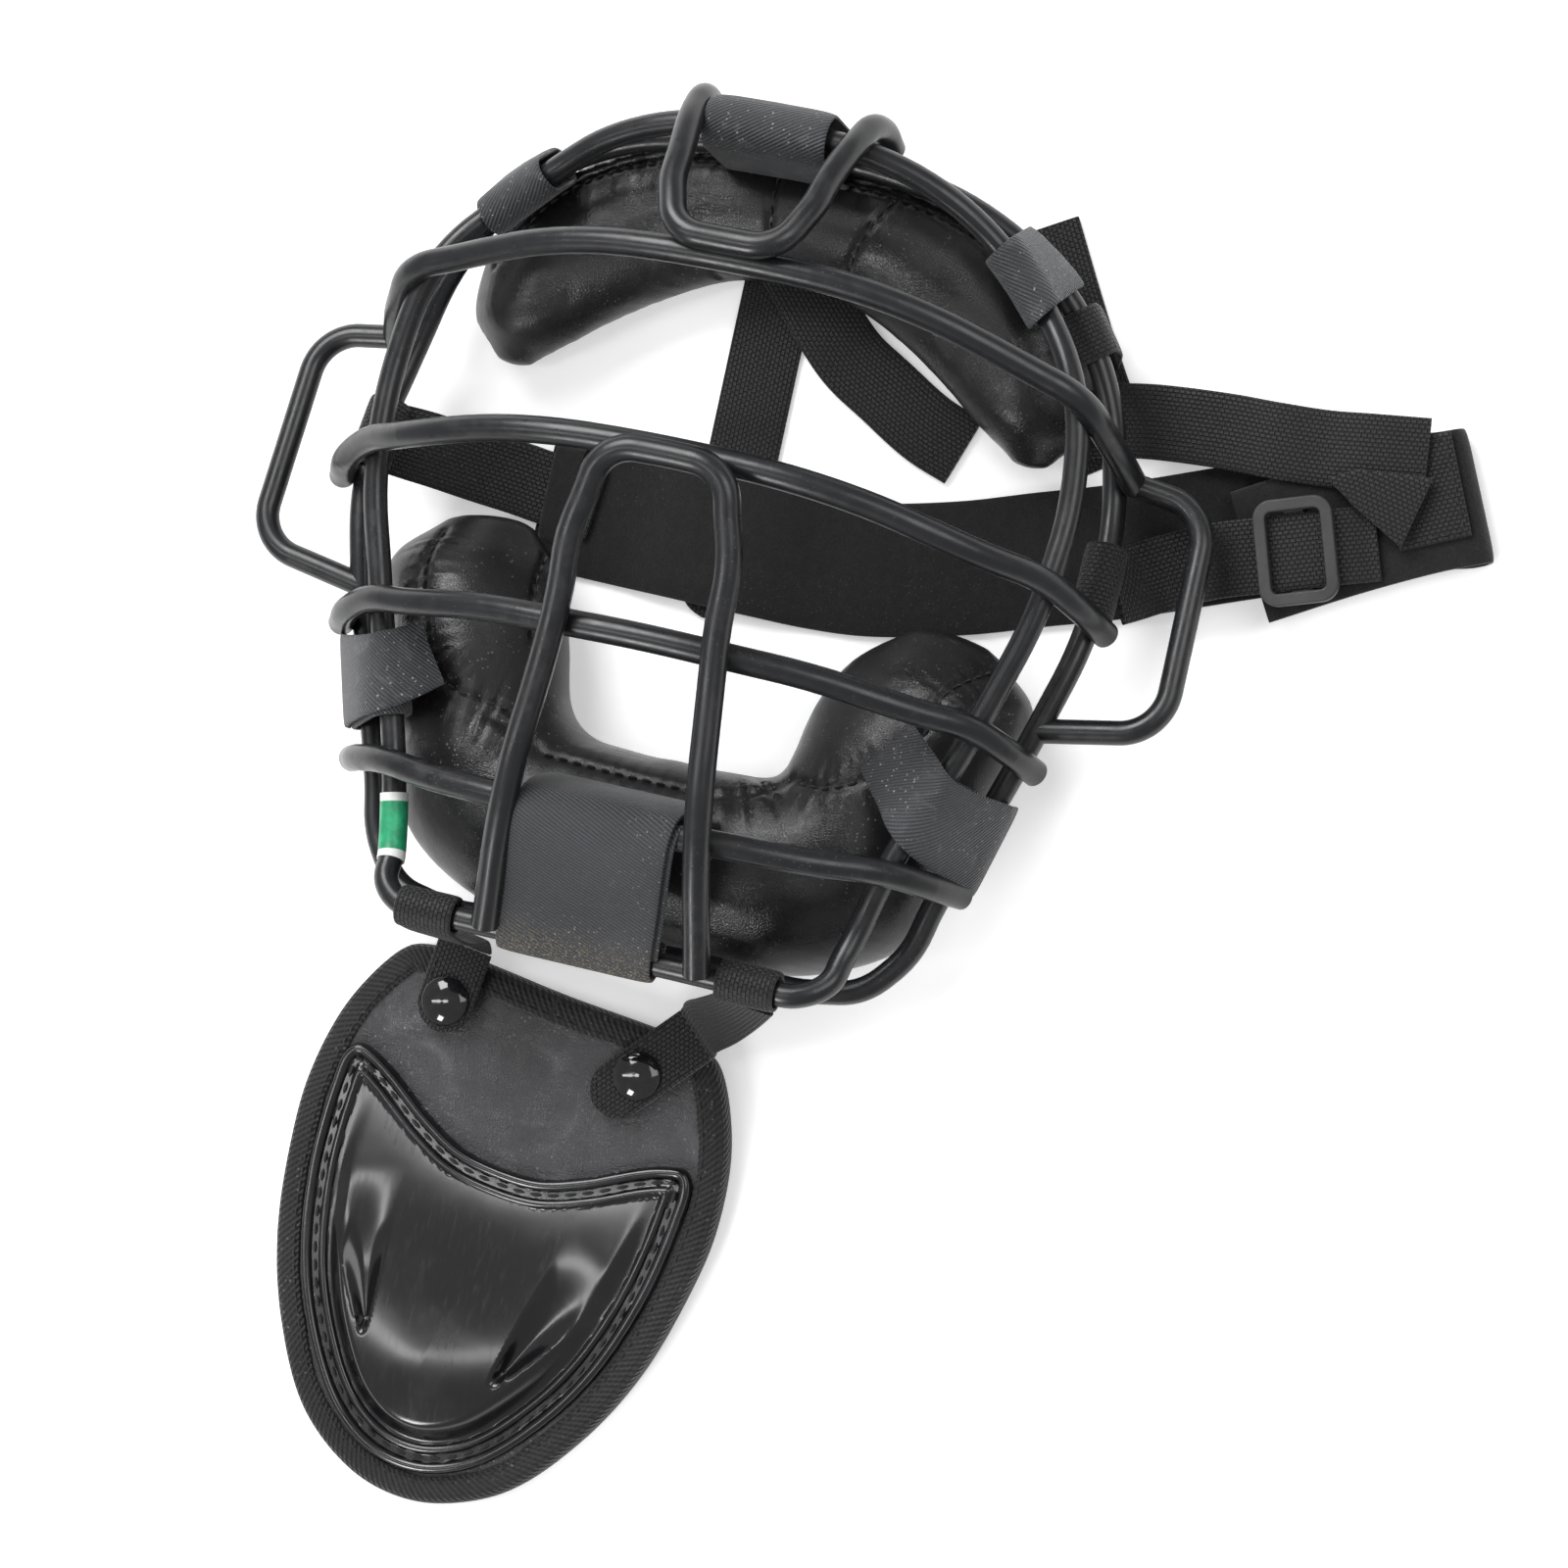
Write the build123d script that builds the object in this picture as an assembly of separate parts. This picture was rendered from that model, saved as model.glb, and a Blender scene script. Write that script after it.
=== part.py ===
from build123d import *
import os
from math import cos, radians, sin, sqrt, tan

# A catcher's wire mask lying on its back: a welded cage of coated wire, two leather pads held to it
# by woven tabs, a webbing harness, and a throat guard that hangs on two straps with snap fasteners.
# X is across the face, Y points to the top of the mask and Z comes forward out of the face.
# The origin is on the floor, on the mask's plane of symmetry, under the crown strap.

# Cage: places of its wires are shares of these three sizes
cage_half_width = 100.0
cage_half_length = 115.0
cage_depth = 85.0
rim_wire = 6.5
bar_wire = 7.2
weld_depth = 0.5
side_loop_bend = 13.0
side_loop_reach = 30.4
side_loop_fall = 3.0
side_loop_flare = 2.0
side_loop_low = 6.0

# Webbing, felt band and leather
webbing_width = 20.0
webbing_thickness = 1.5
band_width = 36.0
band_thickness = 2.4
band_fold_radius = 2.9
band_fold_heading = 24.5
hem_width = 8.0
hem_thickness = 1.2
patch_length = 19.0
patch_width = 28.0
patch_heading = 24.0
webbing_drop_run = 7.0
temple_ring_width = 14.0
cover_thickness = 1.2
wrap_clearance = 1.0
cloth_clearance = 0.3
tab_thickness = 1.6
upper_tab_width = 19.0
crown_tab_width = 32.0
lower_tab_width = 21.0
lower_tab_lean = 0.25
flap_shift = 2.0
flap_clearance = 0.9
label_length = 18.0
label_thickness = 0.35
label_clearance = 0.15

# Slide buckle
buckle_length = 21.0
buckle_width = 28.0
buckle_rail = 3.3
buckle_thickness = 2.6
buckle_bar_thickness = 1.6
buckle_corner = 5.0
buckle_clearance = 0.3
buckle_edge = 0.6
buckle_bar_width = 5.0
buckle_heading = 18.0
buckle_travel = 12.0

# Throat guard
guard_half_width = 61.5
guard_length = 144.5
guard_turn = -7.5
guard_shift = -22.5
guard_drop = 128.0
back_thickness = 1.2
core_thickness = 5.2
face_thickness = 1.2
binding_width = 7.5
binding_thickness = 1.0
plate_thickness = 1.6
welt_width = 3.2
welt_height = 1.7
channel_width = 2.2
inner_welt_width = 2.4
inner_welt_height = 1.2
dome_height = 8.5
dome_wall = 2.0
dome_margin = 4.0
dome_shoulder_share = 0.6
dome_skirt_taper = 40
dome_crown_taper = 68

# Guard straps and snap fasteners
guard_strap_width = 16.0
strap_loop_clearance = 0.8
left_loop_x = -47.5
right_loop_x = 42.0
fold_radius = 2.0
tab_fold_gap = 2.35
fold_line_v = 4.0
snap_drop = 16.3
snap_half_spacing = 29.0
left_tab_tail = 8.5
right_tab_tail = 14.5
left_tab_lean = 0.0
right_tab_lean = 36.0
cap_radius = 6.6
cap_height = 2.9
cap_rim = 0.8
shank_radius = 1.2
shank_clearance = 0.05
socket_radius = 5.2
socket_height = 2.6
socket_bore = 2.9
socket_wall = 0.7
stud_flange = 4.0
stud_flange_height = 0.8
stud_radius = 2.0
stud_height = 2.9
snap_gap = 0.15
post_thickness = 0.9

straight_limit = 1e-4
rim_radius = rim_wire / 2
bar_radius = bar_wire / 2
parts = {}


def place(shares):
    """A point of the cage from its shares of the cage's width, length and depth."""
    return Vector(shares[0] * cage_half_width, shares[1] * cage_half_length, shares[2] * cage_depth)


def mirrored(points):
    """Points of the right half, from the middle outwards, with their mirror images in front."""
    left = [Vector(-p.X, p.Y, p.Z) for p in reversed(points)]
    return left + [p for p in points if p.X > 0]


def arc_middle(start, end, direction):
    """The middle of the circular arc from start to end that leaves start along direction."""
    chord = end - start
    turn = radians(direction.get_angle(chord))
    along = chord.normalized()
    side = direction - along * direction.dot(along)
    if side.length < straight_limit:
        return None
    return (start + end) / 2 + side.normalized() * (chord.length / 2 * tan(turn / 2))


def arc_edge(start, end, middle):
    """An arc through three points, or a line where it has no bend."""
    return Line(start, end) if middle is None else ThreePointArc(start, middle, end)


def tangents(points, closed):
    """A direction at each point, from its two neighbours, each weighted by the other's distance."""
    result = []
    count = len(points)
    for i, p in enumerate(points):
        before = points[i - 1] if closed or i > 0 else None
        after = points[(i + 1) % count] if closed or i < count - 1 else None
        if before is None:
            result.append((after - p).normalized())
        elif after is None:
            result.append((p - before).normalized())
        else:
            back, ahead = p - before, after - p
            weighted = back * (ahead.length / back.length) + ahead * (back.length / ahead.length)
            result.append(weighted.normalized())
    return result


def smooth_wire(points, closed=False):
    """A wire through the points, two tangent arcs between each pair."""
    directions = tangents(points, closed)
    edges = []
    last = len(points) if closed else len(points) - 1
    for i in range(last):
        a, b = points[i], points[(i + 1) % len(points)]
        ta, tb = directions[i], directions[(i + 1) % len(points)]
        gap, total, bend = b - a, ta + tb, 2 * (1 - ta.dot(tb))
        pull = gap.dot(total)
        if bend < straight_limit:
            reach = gap.dot(gap) / (2 * pull)
        else:
            reach = (sqrt(pull * pull + bend * gap.dot(gap)) - pull) / bend
        joint = (a + b + (ta - tb) * reach) / 2
        edges.append(arc_edge(a, joint, arc_middle(a, joint, ta)))
        edges.append(arc_edge(joint, b, arc_middle(b, joint, tb * -1)))
    return Wire(edges)


def tube(path, radius):
    """A round wire swept along a path."""
    return sweep(Plane(path @ 0, z_dir=path % 0) * Circle(radius), path=path)


def solid(shape):
    """The one solid of a shape, so that each node is written as a plain solid."""
    found = shape.solids()
    return found[0] if len(found) == 1 else Compound(children=list(found))


def ribbon(stations, width, thickness, shares=None):
    """A flat strap through stations of centre and width direction, each span ruled; its width at each
    station may be a share of the whole."""
    centres = [Vector(c) for c, _ in stations]
    directions = tangents(centres, False)
    wires = []
    for (centre, across), along, share in zip(stations, directions, shares or [1] * len(centres)):
        centre, across = Vector(centre), Vector(across).normalized()
        up = along.cross(across).normalized()
        w, t = across * (width / 2 * share), up * (thickness / 2)
        wires.append(Wire.make_polygon([centre - w - t, centre + w - t, centre + w + t, centre - w + t]))
    return Solid.make_loft(wires, True)


# Cage: stations of the two rims, from the top round the right side to the bottom
rear_rim_shares = [
    (0.0, 0.913, 0.376), (0.25, 0.904, 0.371), (0.48, 0.865, 0.353), (0.77, 0.713, 0.282),
    (0.93, 0.504, 0.224), (0.99, 0.322, 0.206), (1.02, -0.026, 0.318), (0.955, -0.27, 0.35),
    (0.922, -0.364, 0.353), (0.805, -0.67, 0.371), (0.73, -0.86, 0.388), (0.66, -0.925, 0.412),
    (0.54, -0.955, 0.435), (0.3, -0.955, 0.447), (0.0, -0.955, 0.447),
]
front_rim_shares = [
    (0.0, 0.93, 0.624), (0.225, 0.922, 0.61), (0.44, 0.87, 0.55), (0.67, 0.735, 0.45),
    (0.9, 0.47, 0.506), (0.945, 0.261, 0.506), (0.935, 0.052, 0.529), (0.83, -0.3, 0.541),
    (0.69, -0.652, 0.576), (0.635, -0.852, 0.6), (0.615, -0.925, 0.65), (0.55, -0.962, 0.682),
    (0.45, -0.964, 0.682), (0.2, -0.964, 0.682), (0.0, -0.964, 0.682),
]
brow_level, upper_level, loop_level, middle_level, lower_level = 5, 6, 7, 8, 9
front_brow, front_upper, front_middle, front_lower = 4, 6, 7, 8
brow_shares = [(0.0, 0.612, 0.87), (0.45, 0.59, 0.8), (0.78, 0.515, 0.65)]
upper_shares = [(0.0, 0.165, 0.982), (0.46, 0.143, 0.941), (0.78, 0.087, 0.788)]
middle_shares = [(0.0, -0.252, 0.929), (0.22, -0.255, 0.912), (0.45, -0.261, 0.847), (0.68, -0.283, 0.741)]
lower_shares = [(0.0, -0.677, 0.871), (0.265, -0.668, 0.853), (0.5, -0.663, 0.776)]
nose_side_shares = [(0.145, 0.13, 1.059), (0.2, 0.009, 1.035)]
crown_side_shares = [(0.13, 0.664, 0.925), (0.185, 0.745, 0.872), (0.205, 0.843, 0.79)]
crown_back_shares = [(0.235, 0.98, 0.588), (0.243, 0.985, 0.494)]

rear_rim_points = [place(s) for s in rear_rim_shares]
front_rim_points = [place(s) for s in front_rim_shares]
bar_seat = rim_radius + bar_radius - weld_depth
bar_cross = 2 * bar_radius - weld_depth
end_direction = Vector(0.93, 0, 0.37)
shoulder_direction = Vector(0.35, 0, 0.94)


def closed_rim(points):
    """A rim through the right half's points and their mirror images."""
    left = [Vector(-p.X, p.Y, p.Z) for p in reversed(points[1:-1])]
    return smooth_wire(points + left, True)


def bar_points(shares, rear, front):
    """A bar's right half: from its middle over the front rim to its seat outside the rear rim."""
    shoulder = front_rim_points[front] + shoulder_direction * bar_seat
    end = rear_rim_points[rear] + end_direction * bar_seat
    bend = (shoulder + end) / 2 + (shoulder_direction + end_direction) * weld_depth * 2
    return [place(s) for s in shares] + [shoulder, bend, end]


def weld(shape, *others):
    """A wire with its seats on other wires cut to fit them."""
    for other in others:
        shape = shape - other
    pieces = sorted(shape.solids(), key=lambda piece: piece.volume)
    return pieces[-1]


rear_path = closed_rim(rear_rim_points)
front_path = closed_rim(front_rim_points)
rear_rim = tube(rear_path, rim_radius)
front_rim = tube(front_path, rim_radius)
brow_points = bar_points(brow_shares, brow_level, front_brow)
upper_points = bar_points(upper_shares, upper_level, front_upper)
middle_points = bar_points(middle_shares, middle_level, front_middle)
lower_points = bar_points(lower_shares, lower_level, front_lower)
brow_bar = weld(tube(smooth_wire(mirrored(brow_points)), bar_radius), rear_rim, front_rim)
upper_bar = weld(tube(smooth_wire(mirrored(upper_points)), bar_radius), rear_rim, front_rim)
middle_bar = weld(tube(smooth_wire(mirrored(middle_points)), bar_radius), rear_rim, front_rim)
lower_bar = weld(tube(smooth_wire(mirrored(lower_points)), bar_radius), rear_rim, front_rim)

# The nose loop stands on the upper, middle and lower bars and ends on the bottom of the front rim
on_top = Vector(0, 0, 1)
rim_bottom = front_rim_points[-1]
nose_leg_x = 0.295 * cage_half_width
nose_seat_direction = Vector(0, -0.2, 0.98)
nose_points = [upper_points[0] + nose_seat_direction * bar_cross] + [place(s) for s in nose_side_shares]
nose_points += [middle_points[1] + on_top * bar_cross, lower_points[1] + on_top * bar_cross]
nose_points += [Vector(nose_leg_x, rim_bottom.Y, rim_bottom.Z) + on_top * bar_seat]
nose_loop = weld(tube(smooth_wire(mirrored(nose_points)), bar_radius),
                 upper_bar, middle_bar, lower_bar, front_rim)

# The crown loop leans on the brow bar, crosses the front rim and comes down behind it to the rear rim
crown_seat_direction = Vector(0, 0.6, 0.8)
crown_cross_direction = Vector(0, 0.2, 0.98)
crown_end_direction = Vector(0, 0.97, 0.24)
crown_cross = front_rim_points[1] + crown_cross_direction * bar_seat
crown_end = rear_rim_points[1] + crown_end_direction * bar_seat
crown_points = [brow_points[0] + crown_seat_direction * bar_cross] + [place(s) for s in crown_side_shares]
crown_points += [crown_cross] + [place(s) for s in crown_back_shares] + [crown_end]
crown_loop = weld(tube(smooth_wire(mirrored(crown_points)), bar_radius), brow_bar, front_rim, rear_rim)


def side_loop(side):
    """The square wire loop beside the temple, both ends on the rear rim."""
    top = brow_points[-1]
    bottom = rear_rim_points[loop_level]
    outer = bottom.X + side_loop_reach
    corners = [top, Vector(outer, top.Y - side_loop_fall, top.Z),
               Vector(outer + side_loop_flare, bottom.Y + side_loop_low, bottom.Z), bottom]
    corners = [Vector(side * p.X, p.Y, p.Z) for p in corners]
    path = FilletPolyline(*corners, radius=side_loop_bend)
    return weld(tube(Wire(path.edges()), rim_radius), rear_rim, brow_bar)


parts["rear_rim"] = rear_rim
parts["front_rim"] = front_rim
parts["brow_bar"] = brow_bar
parts["upper_bar"] = upper_bar
parts["middle_bar"] = middle_bar
parts["lower_bar"] = lower_bar
parts["nose_loop"] = nose_loop
parts["crown_loop"] = crown_loop
parts["side_loop_left"] = side_loop(-1)
parts["side_loop_right"] = side_loop(1)


# Pads: each section runs from the edge under the rim to the free edge, with its crown between
forehead_shares = [
    # outer edge, free edge, heights of outer edge, free edge, crown, back and back's edges
    ((-0.815, 0.345), (-0.665, 0.335), 0.14, 0.14, 0.19, 0.06, 0.08),
    ((-0.885, 0.42), (-0.57, 0.395), 0.15, 0.19, 0.29, 0.05, 0.09),
    ((-0.83, 0.57), (-0.47, 0.46), 0.18, 0.2, 0.33, 0.05, 0.09),
    ((-0.725, 0.68), (-0.34, 0.535), 0.22, 0.21, 0.36, 0.05, 0.09),
    ((-0.54, 0.785), (-0.2, 0.598), 0.27, 0.23, 0.385, 0.05, 0.09),
    ((-0.3, 0.855), (-0.1, 0.622), 0.315, 0.25, 0.41, 0.05, 0.09),
    ((0.0, 0.87), (0.0, 0.628), 0.325, 0.26, 0.415, 0.05, 0.09),
]
chin_shares = [
    ((-0.83, -0.08), (-0.56, -0.055), 0.2, 0.2, 0.26, 0.085, 0.11),
    ((-0.925, -0.19), (-0.46, -0.16), 0.285, 0.26, 0.42, 0.055, 0.085),
    ((-0.875, -0.36), (-0.415, -0.3), 0.305, 0.3, 0.48, 0.0, 0.06),
    ((-0.782, -0.58), (-0.37, -0.45), 0.308, 0.36, 0.505, 0.0, 0.06),
    ((-0.71, -0.79), (-0.29, -0.515), 0.325, 0.4, 0.52, 0.0, 0.06),
    ((-0.46, -0.915), (-0.16, -0.535), 0.37, 0.43, 0.53, 0.0, 0.06),
    ((-0.235, -0.932), (-0.075, -0.542), 0.382, 0.438, 0.537, 0.0, 0.06),
    ((0.0, -0.925), (0.0, -0.54), 0.385, 0.44, 0.54, 0.0, 0.06),
]
forehead_right_shifts = ()
chin_right_shifts = ((0, 0, 0.05), (0.01, 0.015, 0.065), (0.03, 0.04, 0.03), (0.045, 0.05, 0.0))
side_bulge_share = 0.15
foam_end_share = 0.25


def pad_section(row, inset):
    """A closed outline of four arcs: front crown, free edge, back and rim edge."""
    (ax, ay), (bx, by), rim_height, free_height, crown, floor, edge_floor = row
    a = Vector(ax * cage_half_width, ay * cage_half_length, 0)
    b = Vector(bx * cage_half_width, by * cage_half_length, 0)
    across = (b - a).normalized()
    up = Vector(0, 0, 1)
    low = edge_floor * cage_depth + inset
    a, b = a + across * inset, b - across * inset
    a_high, b_high = rim_height * cage_depth - inset, free_height * cage_depth - inset
    a_top, b_top = a + up * a_high, b + up * b_high
    a_foot, b_foot = a + up * low, b + up * low
    middle = (a + b) / 2
    a_side = a - across * ((a_high - low) * side_bulge_share) + up * ((a_high + low) / 2)
    b_side = b + across * ((b_high - low) * side_bulge_share) + up * ((b_high + low) / 2)
    return Wire([
        ThreePointArc(a_top, middle + up * (crown * cage_depth - inset), b_top),
        ThreePointArc(b_top, b_side, b_foot),
        ThreePointArc(b_foot, middle + up * (floor * cage_depth + inset), a_foot),
        ThreePointArc(a_foot, a_side, a_top),
    ])


def blend_rows(first, second, share):
    """A row of pad shares part of the way from one row to the next."""
    def mix(p, q):
        return p + (q - p) * share
    ends = [tuple(map(mix, first[i], second[i])) for i in (0, 1)]
    return tuple(ends) + tuple(map(mix, first[2:], second[2:]))


def pad(rows, right_shifts):
    """A pad's leather cover and the foam that fills it; shares move the outer edge of the right end in and
    down, and its free edge further in."""
    right = [((-a[0], a[1]), (-b[0], b[1])) + tuple(rest) for a, b, *rest in reversed(rows[:-1])]
    for i, (inward, down, free_inward) in zip(range(-len(right_shifts), 0), right_shifts):
        a, b, *rest = right[i]
        right[i] = ((a[0] - inward, a[1] - down), (b[0] - inward - free_inward, b[1] - down)) + tuple(rest)
    rows = rows + right
    filled = [blend_rows(rows[0], rows[1], foam_end_share)] + rows[1:-1]
    filled += [blend_rows(rows[-1], rows[-2], foam_end_share)]
    outer = Solid.make_loft([pad_section(row, 0) for row in [rows[0]] + filled + [rows[-1]]])
    foam = Solid.make_loft([pad_section(row, cover_thickness) for row in filled])
    return outer - foam, foam


parts["forehead_pad_cover"], parts["forehead_pad_foam"] = pad(
    forehead_shares, forehead_right_shifts)
parts["chin_pad_cover"], parts["chin_pad_foam"] = pad(
    chin_shares, chin_right_shifts)


# Tabs: woven loops closed round both rims
crown_tab_shares = (-0.02, 0.913, 0.376)
upper_tab_shares = (0.7, 0.765, 0.305)
lower_tab_shares = (0.868, -0.504, 0.362)
tail_shares = [(0.7, -0.465, 0.6), (0.62, -0.435, 0.545), (0.5, -0.4, 0.525)]
tab_station_shares = (-1, -0.5, 0, 0.5, 1)


def closest(path, point):
    """The point of a path that is nearest to a given point."""
    return path.distance_to_with_closest_points(point)[1]


def rim_direction(path, point, span):
    """The direction of a rim near a point, from two points a span apart."""
    ahead = Vector(span, 0, 0) if abs(point.X) < abs(point.Y) else Vector(0, span, 0)
    return (closest(path, point + ahead) - closest(path, point - ahead)).normalized()


def capsule(p, q, radius, normal):
    """The outline that a strap makes when it is wrapped round two wires, in the plane of normal."""
    along = (q - p).normalized()
    side = normal.cross(along).normalized() * radius
    ahead = along * radius
    return Wire([
        Line(p + side, q + side),
        ThreePointArc(q + side, q + (side + ahead).normalized() * radius, q + ahead),
        ThreePointArc(q + ahead, q + (ahead - side).normalized() * radius, q - side),
        Line(q - side, p - side),
        ThreePointArc(p - side, p - (side + ahead).normalized() * radius, p - ahead),
        ThreePointArc(p - ahead, p + (side - ahead).normalized() * radius, p + side),
    ])


def rim_tab(shares, width, tail=None):
    """A tab wrapped round both rims near a place, with a tail that lies on the pad."""
    start = closest(rear_path, place(shares))
    along = rim_direction(rear_path, start, width / 2)
    pairs = []
    for step in tab_station_shares:
        rear = closest(rear_path, start + along * (width / 2 * step))
        front = closest(front_path, rear)
        front = closest(front_path, front - along * (front - rear).dot(along))
        front = front - along * (front - rear).dot(along)
        pairs.append((rear, front))
    inner_radius = rim_radius + wrap_clearance
    outer_radius = inner_radius + tab_thickness
    outer = Solid.make_loft([capsule(p, q, outer_radius, along) for p, q in pairs])
    inner = Solid.make_loft([capsule(p, q, inner_radius, along) for p, q in pairs])
    if tail:
        outer = outer.fuse(ribbon(tail, width, tab_thickness))
    return outer - inner


lower_tail = [place(t) for t in tail_shares]


def lower_tail_on(side):
    """The stations of a lower tab's tail, with the width direction along the pad."""
    across = Vector(side * lower_tab_lean, 1, 0)
    return [(Vector(side * t.X, t.Y, t.Z), across) for t in lower_tail]


def on_side(side, shares):
    """The same place on the left or the right side."""
    return (side * shares[0], shares[1], shares[2])


parts["crown_tab"] = rim_tab(crown_tab_shares, crown_tab_width)
parts["upper_tab_left"] = rim_tab(on_side(-1, upper_tab_shares), upper_tab_width)
parts["upper_tab_right"] = rim_tab(on_side(1, upper_tab_shares), upper_tab_width)
parts["lower_tab_left"] = rim_tab(on_side(-1, lower_tab_shares), lower_tab_width, lower_tail_on(-1))
parts["lower_tab_right"] = rim_tab(on_side(1, lower_tab_shares), lower_tab_width, lower_tail_on(1))

# Chin flap: a wide tab from the chin pad over the lower bar and round the bottom of the front rim
flap_shares = [
    (-0.605, 0.535), (-0.598, 0.69), (-0.612, 0.83), (-0.64, 0.905), (-0.68, 0.925), (-0.725, 0.91),
    (-0.86, 0.81), (-0.95, 0.748), (-0.997, 0.71), (-1.004, 0.67), (-0.984, 0.632), (-0.945, 0.622),
    (-0.9, 0.632),
]
flap_width = 2 * (lower_points[1].X - bar_radius - flap_shift - flap_clearance)
flap_path = smooth_wire([Vector(-flap_shift, y * cage_half_length, z * cage_depth) for y, z in flap_shares])
flap_plane = Plane(flap_path @ 0, x_dir=(1, 0, 0), z_dir=flap_path % 0)
parts["chin_flap"] = sweep(flap_plane * Rectangle(flap_width, tab_thickness), path=flap_path)


def sleeve(path, point, length, inner_radius, thickness):
    """A close sleeve round a rim."""
    start = closest(path, point)
    along = rim_direction(path, start, length / 2)
    rings = []
    for radius in (inner_radius + thickness, inner_radius):
        sections = []
        for step in (-1, 0, 1):
            centre = closest(path, start + along * (length / 2 * step))
            sections.append(Wire.make_circle(radius, Plane(centre, z_dir=along)))
        rings.append(Solid.make_loft(sections))
    return rings[0] - rings[1]


label_place = place((-0.65, -0.8, 0.59))
label_radius = rim_radius + label_clearance
parts["label_band"] = sleeve(front_path, label_place, label_length, label_radius, label_thickness)


# Harness: places in plan are shares of the cage's width and length, heights come from the layers
def spot(x_share, y_share, z):
    """A point given by shares of the cage in plan and by its height."""
    return Vector(x_share * cage_half_width, y_share * cage_half_length, z)


band_low = band_thickness / 2
band_over_strap = webbing_thickness + cloth_clearance + band_low
band_high = band_low + 2 * band_fold_radius
webbing_low = webbing_thickness / 2
on_webbing = webbing_low + webbing_thickness + cloth_clearance
on_band = band_thickness + cloth_clearance + webbing_low
on_top_band = band_high + band_low + cloth_clearance + webbing_low
patch_height = band_high + band_low + cloth_clearance + hem_thickness / 2
on_patch = patch_height + hem_thickness / 2 + cloth_clearance + webbing_low

lower_band_shares = [
    (-0.6, 0.017, 0), (-0.34, 0.013, 0), (-0.2, 0.011, 1), (0.06, 0.008, 1), (0.2, 0.008, 0),
    (0.35, 0.017, 0), (0.6, 0.065, 0), (0.8, 0.12, 0), (1.0, 0.174, 0), (1.3, 0.27, 0),
    (1.6, 0.365, 0), (1.8, 0.43, 0),
]
top_band_shares = [(1.8, 0.42), (1.6, 0.334), (1.363, 0.219)]
fold_place = (1.88, 0.448)
fold_turns = (-90, -54, -18, 18, 54, 90)


def heading(angle):
    """The level direction at an angle from the X axis."""
    return Vector(cos(radians(angle)), sin(radians(angle)), 0)


def width_along(points):
    """Width directions for a strap that lies flat, square to its course in plan."""
    result = []
    for i, _ in enumerate(points):
        before, after = points[max(i - 1, 0)], points[min(i + 1, len(points) - 1)]
        course = Vector(after.X - before.X, after.Y - before.Y, 0).normalized()
        result.append(Vector(-course.Y, course.X, 0))
    return result


def flat_strap(points, width, thickness):
    """A strap that lies flat through the points."""
    return ribbon(list(zip(points, width_along(points))), width, thickness)


def head_band():
    """The felt band: its lower layer, the fold at its end and the layer that comes back on top."""
    lower = [spot(x, y, band_over_strap if over else band_low) for x, y, over in lower_band_shares]
    stations = list(zip(lower, width_along(lower)))
    ahead = heading(band_fold_heading)
    across = Vector(-ahead.Y, ahead.X, 0)
    centre = spot(*fold_place, band_low + band_fold_radius)
    for angle in fold_turns:
        arm = ahead * cos(radians(angle)) + Vector(0, 0, sin(radians(angle)))
        stations.append((centre + arm * band_fold_radius, across))
    upper = [spot(x, y, band_high) for x, y in top_band_shares]
    stations += [(p, w * -1) for p, w in zip(upper, width_along(upper))]
    return ribbon(stations, band_width, band_thickness)


parts["head_band"] = head_band()

tape_shares = [
    (-0.54, -0.135, 0), (-0.54, -0.072, 0), (-0.54, -0.058, 1), (-0.54, 0.147, 1),
    (-0.54, 0.161, 0), (-0.54, 0.171, 0),
]
tape_low = band_thickness + cloth_clearance + hem_thickness / 2
tape_high = on_band + webbing_low + cloth_clearance + hem_thickness / 2
tape = [spot(x, y, tape_high if over else tape_low) for x, y, over in tape_shares]
parts["band_end_tape"] = flat_strap(tape, hem_width, hem_thickness)

patch_place = (1.78, 0.443)
patch_middle = spot(*patch_place, patch_height)
patch_half = heading(patch_heading) * (patch_length / 2)
parts["band_end_patch"] = flat_strap([patch_middle - patch_half, patch_middle + patch_half],
                                     patch_width, hem_thickness)


def looped_strap(path, shares, radius, ring_width, stations, width):
    """A strap sewn into a loop round a rim, with a leg that starts in the loop's wall."""
    centre = closest(path, place(shares))
    along = rim_direction(path, centre, ring_width / 2)
    outer = radius + webbing_thickness
    ring = Solid.make_cylinder(outer, ring_width, Plane(centre - along * (ring_width / 2), z_dir=along))
    bore = Solid.make_cylinder(radius, ring_width * 2, Plane(centre - along * ring_width, z_dir=along))
    leg = ribbon(stations(centre, along), width, webbing_thickness)
    return ring.fuse(leg) - bore


ring_radius = rim_radius + wrap_clearance
ring_middle = ring_radius + webbing_low
level = Vector(0, 0, 1)


left_leg_direction = Vector(0.62, 0, -0.78)
right_leg_direction = Vector(0.72, 0, -0.69)
left_fall_shares = [(-0.9, 0.08, 0.165), (-0.78, 0.068, 0.085)]
left_band_shares = [(-0.66, 0.057, 1), (-0.6, 0.05, 0), (-0.44, 0.036, 0)]
right_rise_share = (1.12, 0.125)


def left_leg(centre, along):
    """From the left rim down to the end of the head band."""
    start = centre + left_leg_direction * ring_middle
    fall = [place(s) for s in left_fall_shares]
    flat = [spot(x, y, on_band + webbing_low * lifted) for x, y, lifted in left_band_shares]
    points = [start] + fall + flat
    return list(zip(points, [along * -1] + width_along(points)[1:]))


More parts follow.
